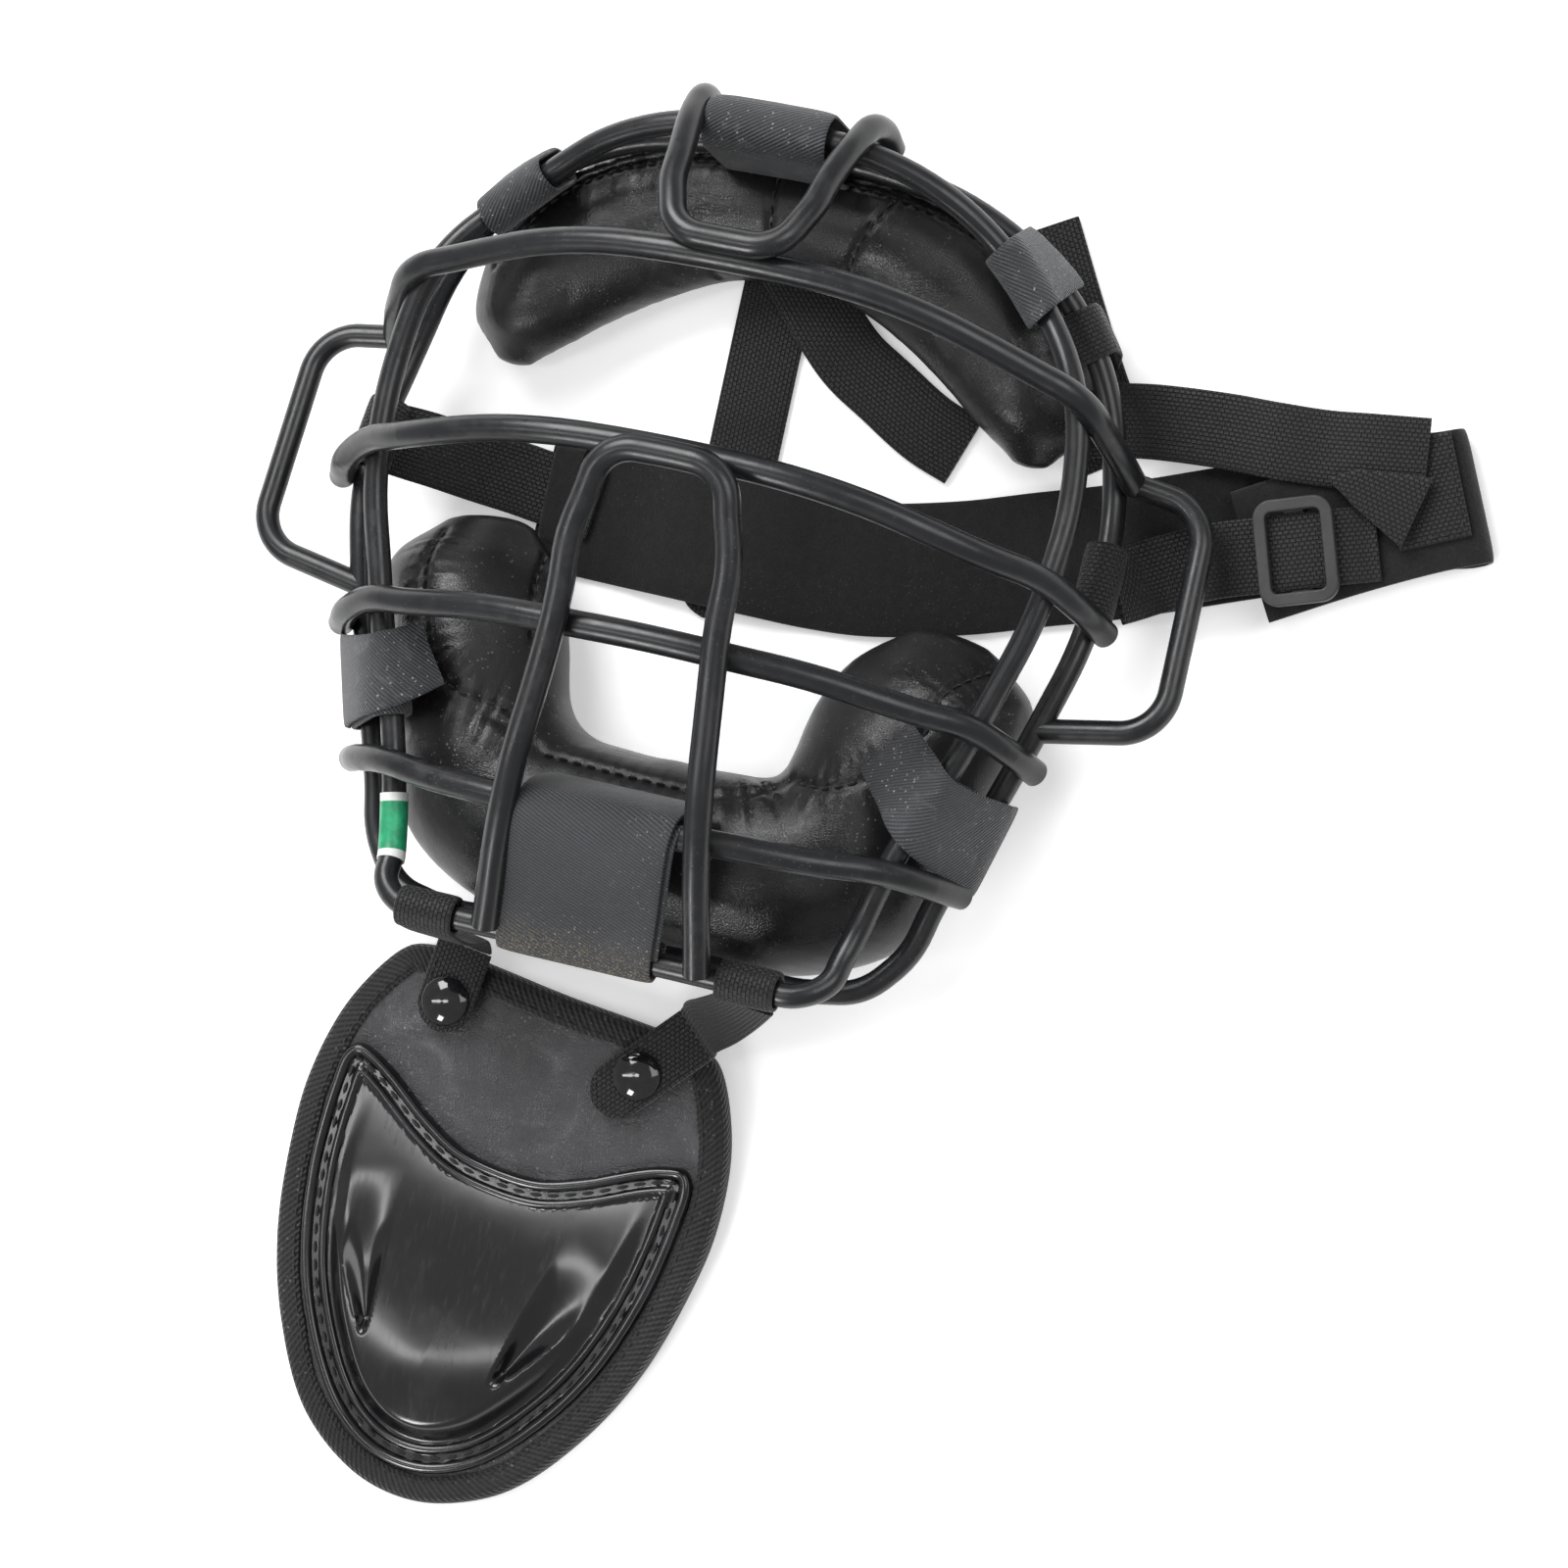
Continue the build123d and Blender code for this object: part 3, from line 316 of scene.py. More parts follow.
REAR_RIM = np.array([
    (0, 105, 32), (25, 104, 31.5), (48, 99.5, 30), (77, 82, 24), (93, 58, 19), (99, 37, 17.5),
    (102, -3, 27), (95.5, -31, 29.75), (92.2, -41.9, 30), (80.5, -77, 31.5), (73, -98.9, 33),
    (66, -106.4, 35), (54, -109.8, 37), (30, -109.8, 38), (0, -109.8, 38)], float)
FRONT_RIM = np.array([
    (0, 107, 53), (22.5, 106, 51.9), (44, 100, 46.75), (67, 84.5, 38.25), (90, 54, 43), (94.5, 30, 43),
    (93.5, 6, 45), (83, -34.5, 46), (69, -75, 49), (63.5, -98, 51), (61.5, -106.4, 55), (55, -110.6, 58),
    (45, -110.9, 58), (20, -110.9, 58), (0, -110.86, 57.97)], float)
RIM_RADIUS = 3.25
WRAP_CLEARANCE = 1.0
TAB_THICKNESS = 1.6


def whole_rim(half):
    """The right half of a rim with its mirror image, as one closed smooth path."""
    left = half[-2:0:-1] * np.array([-1, 1, 1])
    return smooth_path(np.vstack([half, left]), 900, closed=True)


def rim_near(rim, start, along, offsets):
    """Points of a rim at given distances along a direction from a start, near that start."""
    near = rim[np.linalg.norm(rim - start, axis=1) < 70]
    place = (near - start) @ along
    order = np.argsort(place)
    return np.stack([np.interp(offsets, place[order], near[order][:, c]) for c in range(3)], 1)


def closest_on(rim, point):
    return rim[np.argmin(np.linalg.norm(rim - np.asarray(point, float), axis=1))]


def rim_direction(rim, centre, reach, ahead=(0, 1, 0)):
    """The rim's direction between two places as far as reach before and after a point on it."""
    return unit(np.diff(rim_near(rim, centre, np.array(ahead, float), np.array([-reach, reach])), axis=0)[0])


# Shader groups: each gives a height, mask or shade that changes over the surface

def add(tree, kind, links=(), **settings):
    """A node with its settings. links holds (input, value or socket) pairs."""
    node = tree.nodes.new(kind)
    for key, value in settings.items():
        setattr(node, key, value)
    for key, value in links:
        if isinstance(value, bpy.types.NodeSocket):
            tree.links.new(value, node.inputs[key])
        else:
            node.inputs[key].default_value = value
    return node


def group(name, inputs, outputs):
    """A new shader group with its sockets: (name, kind, default) in and (name, kind) out."""
    tree = bpy.data.node_groups.new(name, "ShaderNodeTree")
    for label, kind, default in inputs:
        socket = tree.interface.new_socket(name=label, in_out="INPUT", socket_type=kind)
        if default is not None:
            socket.default_value = default
    for label, kind in outputs:
        tree.interface.new_socket(name=label, in_out="OUTPUT", socket_type=kind)
    return tree, tree.nodes.new("NodeGroupInput").outputs, tree.nodes.new("NodeGroupOutput").inputs


def sums(tree, operation, a, b=0.0, clamp=False):
    return add(tree, "ShaderNodeMath", [(0, a), (1, b)], operation=operation, use_clamp=clamp).outputs[0]


def faded(tree, value, low, high, out_low=0.0, out_high=1.0):
    node = add(tree, "ShaderNodeMapRange", [
        ("Value", value), ("From Min", low), ("From Max", high), ("To Min", out_low), ("To Max", out_high)],
        interpolation_type="SMOOTHSTEP")
    return node.outputs["Result"]


def ribbed_weave():
    """Webbing: short ribs across the tape in rows, each row set off by half a rib."""
    tree, given, result = group("Ribbed weave", [
        ("Vector", "NodeSocketVector", None), ("Rib", "NodeSocketFloat", 1.7),
        ("Row", "NodeSocketFloat", 1.15)], [("Height", "NodeSocketFloat"), ("Shade", "NodeSocketFloat")])
    brick = add(tree, "ShaderNodeTexBrick", [
        ("Vector", given["Vector"]), ("Scale", 1.0), ("Mortar Size", 0.26), ("Mortar Smooth", 1.0),
        ("Brick Width", given["Rib"]), ("Row Height", given["Row"]), ("Color1", (1, 1, 1, 1)),
        ("Color2", (0.62, 0.62, 0.62, 1))], offset=0.5, squash=1.0)
    fine = add(tree, "ShaderNodeTexNoise", [("Vector", given["Vector"]), ("Scale", 2.2), ("Detail", 3.0)])
    rib = sums(tree, "SUBTRACT", 1.0, brick.outputs["Fac"])
    rough = sums(tree, "MULTIPLY", fine.outputs["Fac"], 0.25)
    tree.links.new(sums(tree, "ADD", rib, rough), result["Height"])
    tree.links.new(sums(tree, "MULTIPLY", faded(tree, rib, 0.0, 1.0, 0.35, 1.1),
                        faded(tree, fine.outputs["Fac"], 0.25, 0.75, 0.75, 1.2)), result["Shade"])
    return tree


def diagonal_weave():
    """Twill: a sine of the place along the tape plus or minus the place across it, broken by a finer one."""
    tree, given, result = group("Diagonal weave", [
        ("Vector", "NodeSocketVector", None), ("Pitch", "NodeSocketFloat", 1.1),
        ("Slant", "NodeSocketFloat", 0.8), ("Fuzz", "NodeSocketFloat", 0.3)],
        [("Height", "NodeSocketFloat"), ("Shade", "NodeSocketFloat")])
    parts = add(tree, "ShaderNodeSeparateXYZ", [(0, given["Vector"])])
    slanted = sums(tree, "ADD", parts.outputs[0], sums(tree, "MULTIPLY", parts.outputs[1], given["Slant"]))
    turns = sums(tree, "MULTIPLY", sums(tree, "DIVIDE", slanted, given["Pitch"]), 2 * HALF_TURN)
    crossing = sums(tree, "MULTIPLY", sums(tree, "DIVIDE", parts.outputs[1], given["Pitch"]), 3.1 * HALF_TURN)
    ridge, thread = (add(tree, "ShaderNodeMath", [(0, sums(tree, "SINE", wave)), (1, half), (2, half)],
                         operation="MULTIPLY_ADD").outputs[0]
                     for wave, half in ((turns, 0.5), (crossing, 0.15)))
    fuzz = add(tree, "ShaderNodeTexNoise", [("Vector", given["Vector"]), ("Scale", 2.6), ("Detail", 5.0)])
    loose = sums(tree, "MULTIPLY", fuzz.outputs["Fac"], given["Fuzz"])
    height = sums(tree, "ADD", sums(tree, "ADD", ridge, thread), loose)
    tree.links.new(height, result["Height"])
    tree.links.new(sums(tree, "MULTIPLY", faded(tree, ridge, 0.0, 1.0, 0.6, 1.12),
                        faded(tree, fuzz.outputs["Fac"], 0.3, 0.7, 0.8, 1.18)), result["Shade"])
    return tree


def leather_grain():
    """Leather: cells a millimetre or less across with creases between them, over broad soft folds."""
    tree, given, result = group("Leather grain", [
        ("Vector", "NodeSocketVector", None), ("Cells", "NodeSocketFloat", 900.0),
        ("Creases", "NodeSocketFloat", 60.0)],
        [("Height", "NodeSocketFloat"), ("Shade", "NodeSocketFloat"), ("Rub", "NodeSocketFloat")])
    bent = add(tree, "ShaderNodeTexNoise", [
        ("Vector", given["Vector"]), ("Scale", given["Creases"]), ("Detail", 4.0), ("Distortion", 0.6)])
    cells = add(tree, "ShaderNodeTexVoronoi", [("Vector", given["Vector"]), ("Scale", given["Cells"])],
                feature="DISTANCE_TO_EDGE")
    pores = faded(tree, cells.outputs["Distance"], 0.0, 0.22)
    shift = add(tree, "ShaderNodeVectorMath", [(0, bent.outputs["Color"]), ("Scale", 0.012)],
                operation="SCALE")
    place = add(tree, "ShaderNodeVectorMath", [(0, given["Vector"]), (1, shift.outputs[0])], operation="ADD")
    crease = add(tree, "ShaderNodeTexVoronoi", [("Vector", place.outputs[0]), ("Scale", given["Creases"])],
                 feature="DISTANCE_TO_EDGE")
    folds = faded(tree, crease.outputs["Distance"], 0.0, 0.09)
    height = sums(tree, "ADD", sums(tree, "MULTIPLY", pores, 0.35), sums(tree, "MULTIPLY", folds, 0.5))
    height = sums(tree, "ADD", height, sums(tree, "MULTIPLY", bent.outputs["Fac"], 0.8))
    tree.links.new(height, result["Height"])
    tree.links.new(faded(tree, pores, 0.0, 1.0, 0.82, 1.0), result["Shade"])
    tree.links.new(faded(tree, bent.outputs["Fac"], 0.35, 0.7), result["Rub"])
    return tree


def specks():
    """Dust: pale specks where fine noise is high, thinned out by broad noise."""
    tree, given, result = group("Dust specks", [
        ("Vector", "NodeSocketVector", None), ("Scale", "NodeSocketFloat", 700.0),
        ("Amount", "NodeSocketFloat", 0.3)], [("Mask", "NodeSocketFloat")])
    cells = add(tree, "ShaderNodeTexVoronoi", [("Vector", given["Vector"]), ("Scale", given["Scale"])])
    size = add(tree, "ShaderNodeSeparateColor", [(0, cells.outputs["Color"])])
    few = faded(tree, size.outputs[0], 0.72, 1.0)
    dot = sums(tree, "LESS_THAN", cells.outputs["Distance"], sums(tree, "MULTIPLY", few, 0.34))
    broad = add(tree, "ShaderNodeTexNoise", [("Vector", given["Vector"]), ("Scale", 28.0), ("Detail", 2.0)])
    spread = faded(tree, broad.outputs["Fac"], 0.38, 0.7)
    amount = sums(tree, "MULTIPLY", sums(tree, "MULTIPLY", dot, spread), given["Amount"], clamp=True)
    tree.links.new(amount, result["Mask"])
    return tree


GROUPS = {}


def shared(maker):
    """A shader group, made the first time it is asked for."""
    if maker.__name__ not in GROUPS:
        GROUPS[maker.__name__] = maker()
    return GROUPS[maker.__name__]


FINISHES = {}


class Finish:
    """One material: the shader with its plain numbers set on its own sockets, and helpers that add to it."""

    def __init__(self, name, roughness, specular=0.5, coat=0.0, coat_rough=0.1, sheen=0.0, sheen_rough=0.5,
                 metal=0.0):
        self.material = bpy.data.materials.new(name)
        self.material.use_nodes = True
        self.tree = self.material.node_tree
        self.shader = self.tree.nodes["Principled BSDF"]
        plain = {"Roughness": roughness, "Specular IOR Level": specular, "Coat Weight": coat,
                 "Coat Roughness": coat_rough, "Sheen Weight": sheen, "Sheen Roughness": sheen_rough,
                 "Metallic": metal}
        for key, value in plain.items():
            self.shader.inputs[key].default_value = value
        self.object = add(self.tree, "ShaderNodeTexCoord").outputs["Object"]
        self.weave = add(self.tree, "ShaderNodeUVMap", uv_map="Weave").outputs["UV"]

    def add(self, kind, links=(), **settings):
        return add(self.tree, kind, links, **settings)

    def group(self, maker, **values):
        node = self.tree.nodes.new("ShaderNodeGroup")
        node.node_tree = shared(maker)
        for key, value in values.items():
            if isinstance(value, bpy.types.NodeSocket):
                self.tree.links.new(value, node.inputs[key])
            else:
                node.inputs[key].default_value = value
        return node.outputs

    def noise(self, scale, detail=3.0, vector=None, **extra):
        links = [("Vector", vector or self.object), ("Scale", scale), ("Detail", detail)]
        return self.add("ShaderNodeTexNoise", links + list(extra.items())).outputs["Fac"]

    def shade(self, colour, factor):
        """A colour brightened or darkened by a factor that changes over the surface."""
        grey = self.add("ShaderNodeCombineColor", [(0, factor), (1, factor), (2, factor)]).outputs[0]
        return self.mixed(1.0, (*colour, 1), grey, "MULTIPLY")

    def mixed(self, factor, first, second, kind="MIX"):
        """Two colours mixed. A mix node's colours are its sockets 6 and 7, and its colour out is 2."""
        links = [(0, factor), (6, first), (7, second)]
        return add(self.tree, "ShaderNodeMix", links, data_type="RGBA", blend_type=kind).outputs[2]

    def over(self, below, above, mask):
        """One colour over another where a mask is 1."""
        return self.mixed(mask, below, above)

    def dusted(self, base, scale, amount):
        """The base colour with specks of dust over it."""
        dust = self.group(specks, Vector=self.object, Scale=scale, Amount=amount)["Mask"]
        self.colour(self.over(base, DUST, dust))

    def colour(self, socket):
        self.tree.links.new(socket, self.shader.inputs["Base Color"])

    def rough(self, socket):
        self.tree.links.new(socket, self.shader.inputs["Roughness"])

    def bump(self, layers):
        """Bumps one over another: (height, distance in metres, strength)."""
        normal = None
        for height, distance, strength in layers:
            links = [("Height", height), ("Distance", distance), ("Strength", strength)]
            if normal is not None:
                links.append(("Normal", normal))
            normal = self.add("ShaderNodeBump", links).outputs[0]
        self.tree.links.new(normal, self.shader.inputs["Normal"])


DUST = (0.42, 0.4, 0.36, 1)


def coated_wire():
    """Vinyl-dipped wire: satin, a little lumpy, scuffed to grey in patches, with a few specks of dust."""
    f = Finish("Coated wire", 0.3, specular=0.5)
    lumps, scuff = f.noise(34.0, 2.0), f.noise(260.0, 6.0)
    worn = sums(f.tree, "MULTIPLY", faded(f.tree, f.noise(24.0, 4.0), 0.48, 0.74),
                faded(f.tree, scuff, 0.4, 0.7))
    base = f.shade(colours().wire, faded(f.tree, lumps, 0.3, 0.7, 0.88, 1.15))
    base = f.over(base, (0.05, 0.05, 0.052, 1), sums(f.tree, "MULTIPLY", worn, 0.25))
    f.dusted(base, 1500.0, 0.14)
    f.rough(sums(f.tree, "ADD", faded(f.tree, scuff, 0.3, 0.75, 0.27, 0.36),
                 sums(f.tree, "MULTIPLY", worn, 0.1)))
    f.bump([(lumps, 0.0012, 0.16), (scuff, 0.00012, 0.2)])
    return f.material


def pad_leather():
    """Soft black leather-like cover with fine grain and a soft shine."""
    f = Finish("Pad leather", 0.42, specular=0.5)
    grain = f.group(leather_grain, Vector=f.object, Cells=1500.0, Creases=38.0)
    tone = sums(f.tree, "MULTIPLY", grain["Shade"], faded(f.tree, f.noise(18.0), 0.3, 0.7, 0.85, 1.25))
    f.dusted(f.shade(colours().leather, tone), 1100.0, 0.3)
    f.rough(faded(f.tree, grain["Rub"], 0.0, 1.0, 0.27, 0.4))
    f.bump([(grain["Height"], 0.0004, 0.25), (f.noise(38.0, 2.0), 0.0025, 0.3)])
    return f.material


def webbing():
    """Black harness webbing with rows of short ribs."""
    f = Finish("Webbing", 0.62, specular=0.35, sheen=0.12, sheen_rough=0.4)
    weave = f.group(ribbed_weave, Vector=f.weave, Rib=1.55, Row=1.15)
    f.dusted(f.shade(colours().webbing, sums(f.tree, "MULTIPLY", weave["Shade"], 1.5)), 1500.0, 0.15)
    f.rough(faded(f.tree, weave["Height"], 0.2, 1.2, 0.75, 0.5))
    f.bump([(weave["Height"], 0.0006, 0.85)])
    return f.material


def felt():
    """Matt felted loop fabric."""
    f = Finish("Felt band", 0.95, specular=0.2, sheen=0.25, sheen_rough=0.55)
    fibre, tufts = f.noise(1900.0, 6.0, Distortion=0.8), f.noise(320.0, 4.0)
    tone = sums(f.tree, "MULTIPLY", faded(f.tree, fibre, 0.3, 0.7, 0.6, 1.45),
                faded(f.tree, tufts, 0.3, 0.7, 0.85, 1.15))
    f.dusted(f.shade(colours().felt, tone), 1700.0, 0.1)
    f.bump([(fibre, 0.0005, 0.55), (tufts, 0.0006, 0.4)])
    return f.material


def woven_tape():
    """Hook-and-loop tape seen from its back: a fine diagonal weave with lint and dust on it."""
    f = Finish("Woven tape", 0.6, specular=0.4, sheen=0.2, sheen_rough=0.4)
    weave = f.group(diagonal_weave, Vector=f.weave, Pitch=1.0, Slant=0.62, Fuzz=0.5)
    lint = faded(f.tree, f.noise(140.0, 8.0, Distortion=1.2), 0.52, 0.75, 0.0, 0.3)
    tone = sums(f.tree, "MULTIPLY", weave["Shade"], faded(f.tree, f.noise(40.0, 4.0), 0.3, 0.7, 0.8, 1.2))
    base = f.over(f.shade(colours().tape, tone), (0.16, 0.16, 0.165, 1), lint)
    f.dusted(base, 1200.0, 0.75)
    f.rough(faded(f.tree, weave["Height"], 0.2, 1.3, 0.72, 0.5))
    f.bump([(weave["Height"], 0.0003, 0.7), (f.noise(600.0, 4.0), 0.0003, 0.3)])
    return f.material


def flap_tape():
    """The chin flap's ribbed tape, with dry tan dust along its bottom edge."""
    f = Finish("Flap tape", 0.62, specular=0.4, sheen=0.15, sheen_rough=0.4)
    weave = f.group(diagonal_weave, Vector=f.weave, Pitch=0.95, Slant=-0.35, Fuzz=0.4)
    place = f.add("ShaderNodeSeparateXYZ", [(0, f.object)])
    low = faded(f.tree, place.outputs[1], -0.103, -0.119, 0.0, 0.75)
    soil = sums(f.tree, "MULTIPLY", low, faded(f.tree, f.noise(1900.0, 7.0), 0.5, 0.66), clamp=True)
    tone = sums(f.tree, "MULTIPLY", weave["Shade"], faded(f.tree, f.noise(45.0, 4.0), 0.3, 0.7, 0.8, 1.1))
    base = f.over(f.shade(colours().tape, tone), (0.3, 0.23, 0.13, 1), soil)
    f.dusted(base, 1300.0, 0.6)
    f.rough(faded(f.tree, weave["Height"], 0.2, 1.3, 0.72, 0.52))
    f.bump([(weave["Height"], 0.0003, 0.65), (soil, 0.0002, 0.4)])
    return f.material


def twill_binding():
    """Diagonal twill tape round the guard."""
    f = Finish("Twill binding", 0.7, specular=0.35, sheen=0.15, sheen_rough=0.4)
    weave = f.group(diagonal_weave, Vector=f.weave, Pitch=1.9, Slant=0.85, Fuzz=0.45)
    tone = sums(f.tree, "MULTIPLY", weave["Shade"], faded(f.tree, f.noise(35.0, 4.0), 0.3, 0.7, 0.75, 1.25))
    f.dusted(f.shade(colours().binding, tone), 900.0, 0.25)
    f.rough(faded(f.tree, weave["Height"], 0.2, 1.3, 0.78, 0.58))
    f.bump([(weave["Height"], 0.0005, 0.75)])
    return f.material


def guard_leather():
    """Worn dark grey leather-like sheet with fine creases and pale rubs."""
    f = Finish("Guard leather", 0.5, specular=0.45)
    grain = f.group(leather_grain, Vector=f.object, Cells=1400.0, Creases=130.0)
    rub = faded(f.tree, f.noise(60.0, 7.0, Distortion=0.7), 0.5, 0.78, 0.0, 0.45)
    tone = sums(f.tree, "MULTIPLY", grain["Shade"], faded(f.tree, f.noise(22.0, 5.0), 0.3, 0.7, 0.72, 1.25))
    base = f.over(f.shade(colours().guard, tone), (0.13, 0.13, 0.14, 1), rub)
    f.dusted(base, 900.0, 0.35)
    f.rough(faded(f.tree, grain["Rub"], 0.0, 1.0, 0.4, 0.55))
    f.bump([(grain["Height"], 0.0004, 0.5), (f.noise(70.0, 3.0), 0.0012, 0.25)])
    return f.material


def gloss_plate():
    """Glossy moulded plate, slightly wavy, with fine wiping marks."""
    f = Finish("Gloss plate", 0.2, specular=0.5, coat=0.25, coat_rough=0.12)
    wave = f.noise(30.0, 2.0)
    marks = f.add("ShaderNodeTexNoise", [
        ("Vector", f.add("ShaderNodeMapping", [("Vector", f.object), ("Rotation", (0, 0, 0.5)),
                                               ("Scale", (1.0, 0.12, 1.0))]).outputs[0]),
        ("Scale", 900.0), ("Detail", 5.0)]).outputs["Fac"]
    haze = faded(f.tree, f.noise(38.0, 5.0), 0.45, 0.75)
    f.colour(f.shade(colours().plate, faded(f.tree, haze, 0.0, 1.0, 0.8, 1.8)))
    f.rough(sums(f.tree, "ADD", faded(f.tree, marks, 0.5, 0.8, 0.19, 0.27),
                 sums(f.tree, "MULTIPLY", haze, 0.1)))
    f.bump([(wave, 0.0012, 0.2), (marks, 0.00005, 0.15)])
    return f.material


def cap_gloss():
    """Glossy black snap cap."""
    f = Finish("Snap cap", 0.1, specular=0.5, coat=0.4, coat_rough=0.04)
    marks = f.noise(500.0, 4.0)
    f.colour(f.shade((0.007, 0.007, 0.008), faded(f.tree, marks, 0.4, 0.8, 0.9, 1.6)))
    f.rough(faded(f.tree, marks, 0.4, 0.8, 0.07, 0.16))
    f.bump([(f.noise(90.0), 0.0004, 0.1)])
    return f.material


def snap_metal():
    """Dull brass of the snaps' hidden parts."""
    f = Finish("Snap metal", 0.35, metal=1.0)
    stain = f.noise(350.0, 5.0)
    f.colour(f.over((0.42, 0.3, 0.16, 1), (0.16, 0.12, 0.08, 1), faded(f.tree, stain, 0.4, 0.7)))
    f.rough(faded(f.tree, stain, 0.3, 0.7, 0.28, 0.5))
    f.bump([(stain, 0.00015, 0.3)])
    return f.material


def buckle_plastic():
    """Matt moulded plastic with a fine spark texture."""
    f = Finish("Buckle plastic", 0.5, specular=0.4)
    spark = f.noise(1600.0, 2.0)
    f.colour(f.shade((0.035, 0.035, 0.037), faded(f.tree, f.noise(120.0, 4.0), 0.3, 0.7, 0.8, 1.2)))
    f.rough(faded(f.tree, spark, 0.3, 0.7, 0.42, 0.58))
    f.bump([(spark, 0.00012, 0.5)])
    return f.material


def thread():
    """Black sewing thread, two strands twisted."""
    f = Finish("Thread", 0.55, specular=0.4, sheen=0.2, sheen_rough=0.35)
    twist = f.add("ShaderNodeTexWave", [("Vector", f.weave), ("Scale", 0.9)], wave_type="BANDS")
    f.colour(f.shade((0.012, 0.012, 0.013), faded(f.tree, twist.outputs["Fac"], 0.0, 1.0, 0.7, 1.4)))
    f.rough(faded(f.tree, f.noise(900.0), 0.3, 0.7, 0.45, 0.65))
    f.bump([(twist.outputs["Fac"], 0.0002, 0.6)])
    return f.material


def label_film():
    """Plain green film with a white edge at both ends, a little worn."""
    f = Finish("Label film", 0.38, specular=0.45)
    place = f.add("ShaderNodeSeparateXYZ", [(0, f.weave)])
    far = sums(f.tree, "ABSOLUTE", place.outputs[0])
    edge = faded(f.tree, far, 6.6, 6.9)
    wear = faded(f.tree, f.noise(260.0, 6.0), 0.42, 0.72, 0.75, 1.15)
    f.colour(f.over(f.shade(colours().label, wear), (0.72, 0.74, 0.72, 1), edge))
    f.rough(faded(f.tree, f.noise(300.0), 0.3, 0.7, 0.3, 0.48))
    f.bump([(f.noise(220.0, 3.0), 0.0003, 0.2)])
    return f.material


def finish(maker):
    """A material, made the first time it is asked for."""
    if maker.__name__ not in FINISHES:
        FINISHES[maker.__name__] = maker()
    return FINISHES[maker.__name__]


def refinish(maker, *nodes):
    """The CAD nodes whose shapes stay get a better material."""
    for name in nodes:
        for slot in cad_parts[name].material_slots:
            slot.material = finish(maker)


# Pads

# Each row: outer edge x y, free edge x y, heights of outer edge, free edge, crown, back and back's edges
FOREHEAD_ROWS = np.array([
    (-81.5, 39.7, -66.5, 38.5, 11.9, 11.9, 16.2, 5.1, 6.8),
    (-88.5, 48.3, -57, 45.4, 12.8, 16.2, 24.7, 4.25, 7.65),
    (-86, 67.4, -47, 52.9, 15.6, 17, 28, 4.25, 7.65), (-75.3, 81.2, -34, 61.5, 18.9, 17.9, 30.6, 4.25, 7.65),
    (-57, 95.2, -20, 68.8, 23, 19.6, 32.7, 4.25, 7.65), (-31.5, 103, -10, 71.5, 26.8, 21.3, 34.9, 4.25, 7.65),
    (0, 104.2, 0, 72.2, 27.6, 22.1, 35.3, 4.25, 7.65)], float)
CHIN_ROWS = np.array([
    (-83, -9.2, -56, -6.3, 17, 17, 22, 7.2, 9.4), (-92.5, -21.9, -46, -18.4, 24.2, 22.1, 35.7, 4.7, 7.2),
    (-87.5, -41.4, -41.5, -34.5, 25.9, 25.5, 40.8, 0, 5.1),
    (-78.2, -66.7, -37, -51.8, 26.2, 30.6, 42.9, 0, 5.1),
    (-71, -90.9, -29, -59.2, 27.6, 34, 44.2, 0, 5.1), (-46, -105.2, -16, -61.5, 31.5, 36.6, 45, 0, 5.1),
    (-23.5, -107.2, -7.5, -62.3, 32.5, 37.2, 45.6, 0, 5.1),
    (0, -106.4, 0, -62.1, 32.7, 37.4, 45.9, 0, 5.1)], float)
CHIN_RIGHT = ((0, 0, -5), (-1, -1.7, -6.5), (-3, -4.6, -3), (-4.5, -5.75, 0))
SIDE_BULGE = 0.15
SIDE_POINTS = 20
CORNER_PASSES = 3
PAD_RINGS = 150
END_REACH = 3.0
SWELL_FRAMES = 20
HELD_NEAR, HELD_FAR = 1.8, 3.6


def whole_rows(rows, right_moves=()):
    """Rows from the left end round to the right end, the last few moved in and down, their free edge
    further in."""
    right = rows[-2::-1].copy()
    right[:, [0, 2]] *= -1
    for k, (x, y, free_x) in enumerate(right_moves):
        row = right[len(right) - len(right_moves) + k]
        row[[0, 2]] += x
        row[[1, 3]] += y
        row[2] += free_x
    return np.vstack([rows, right])


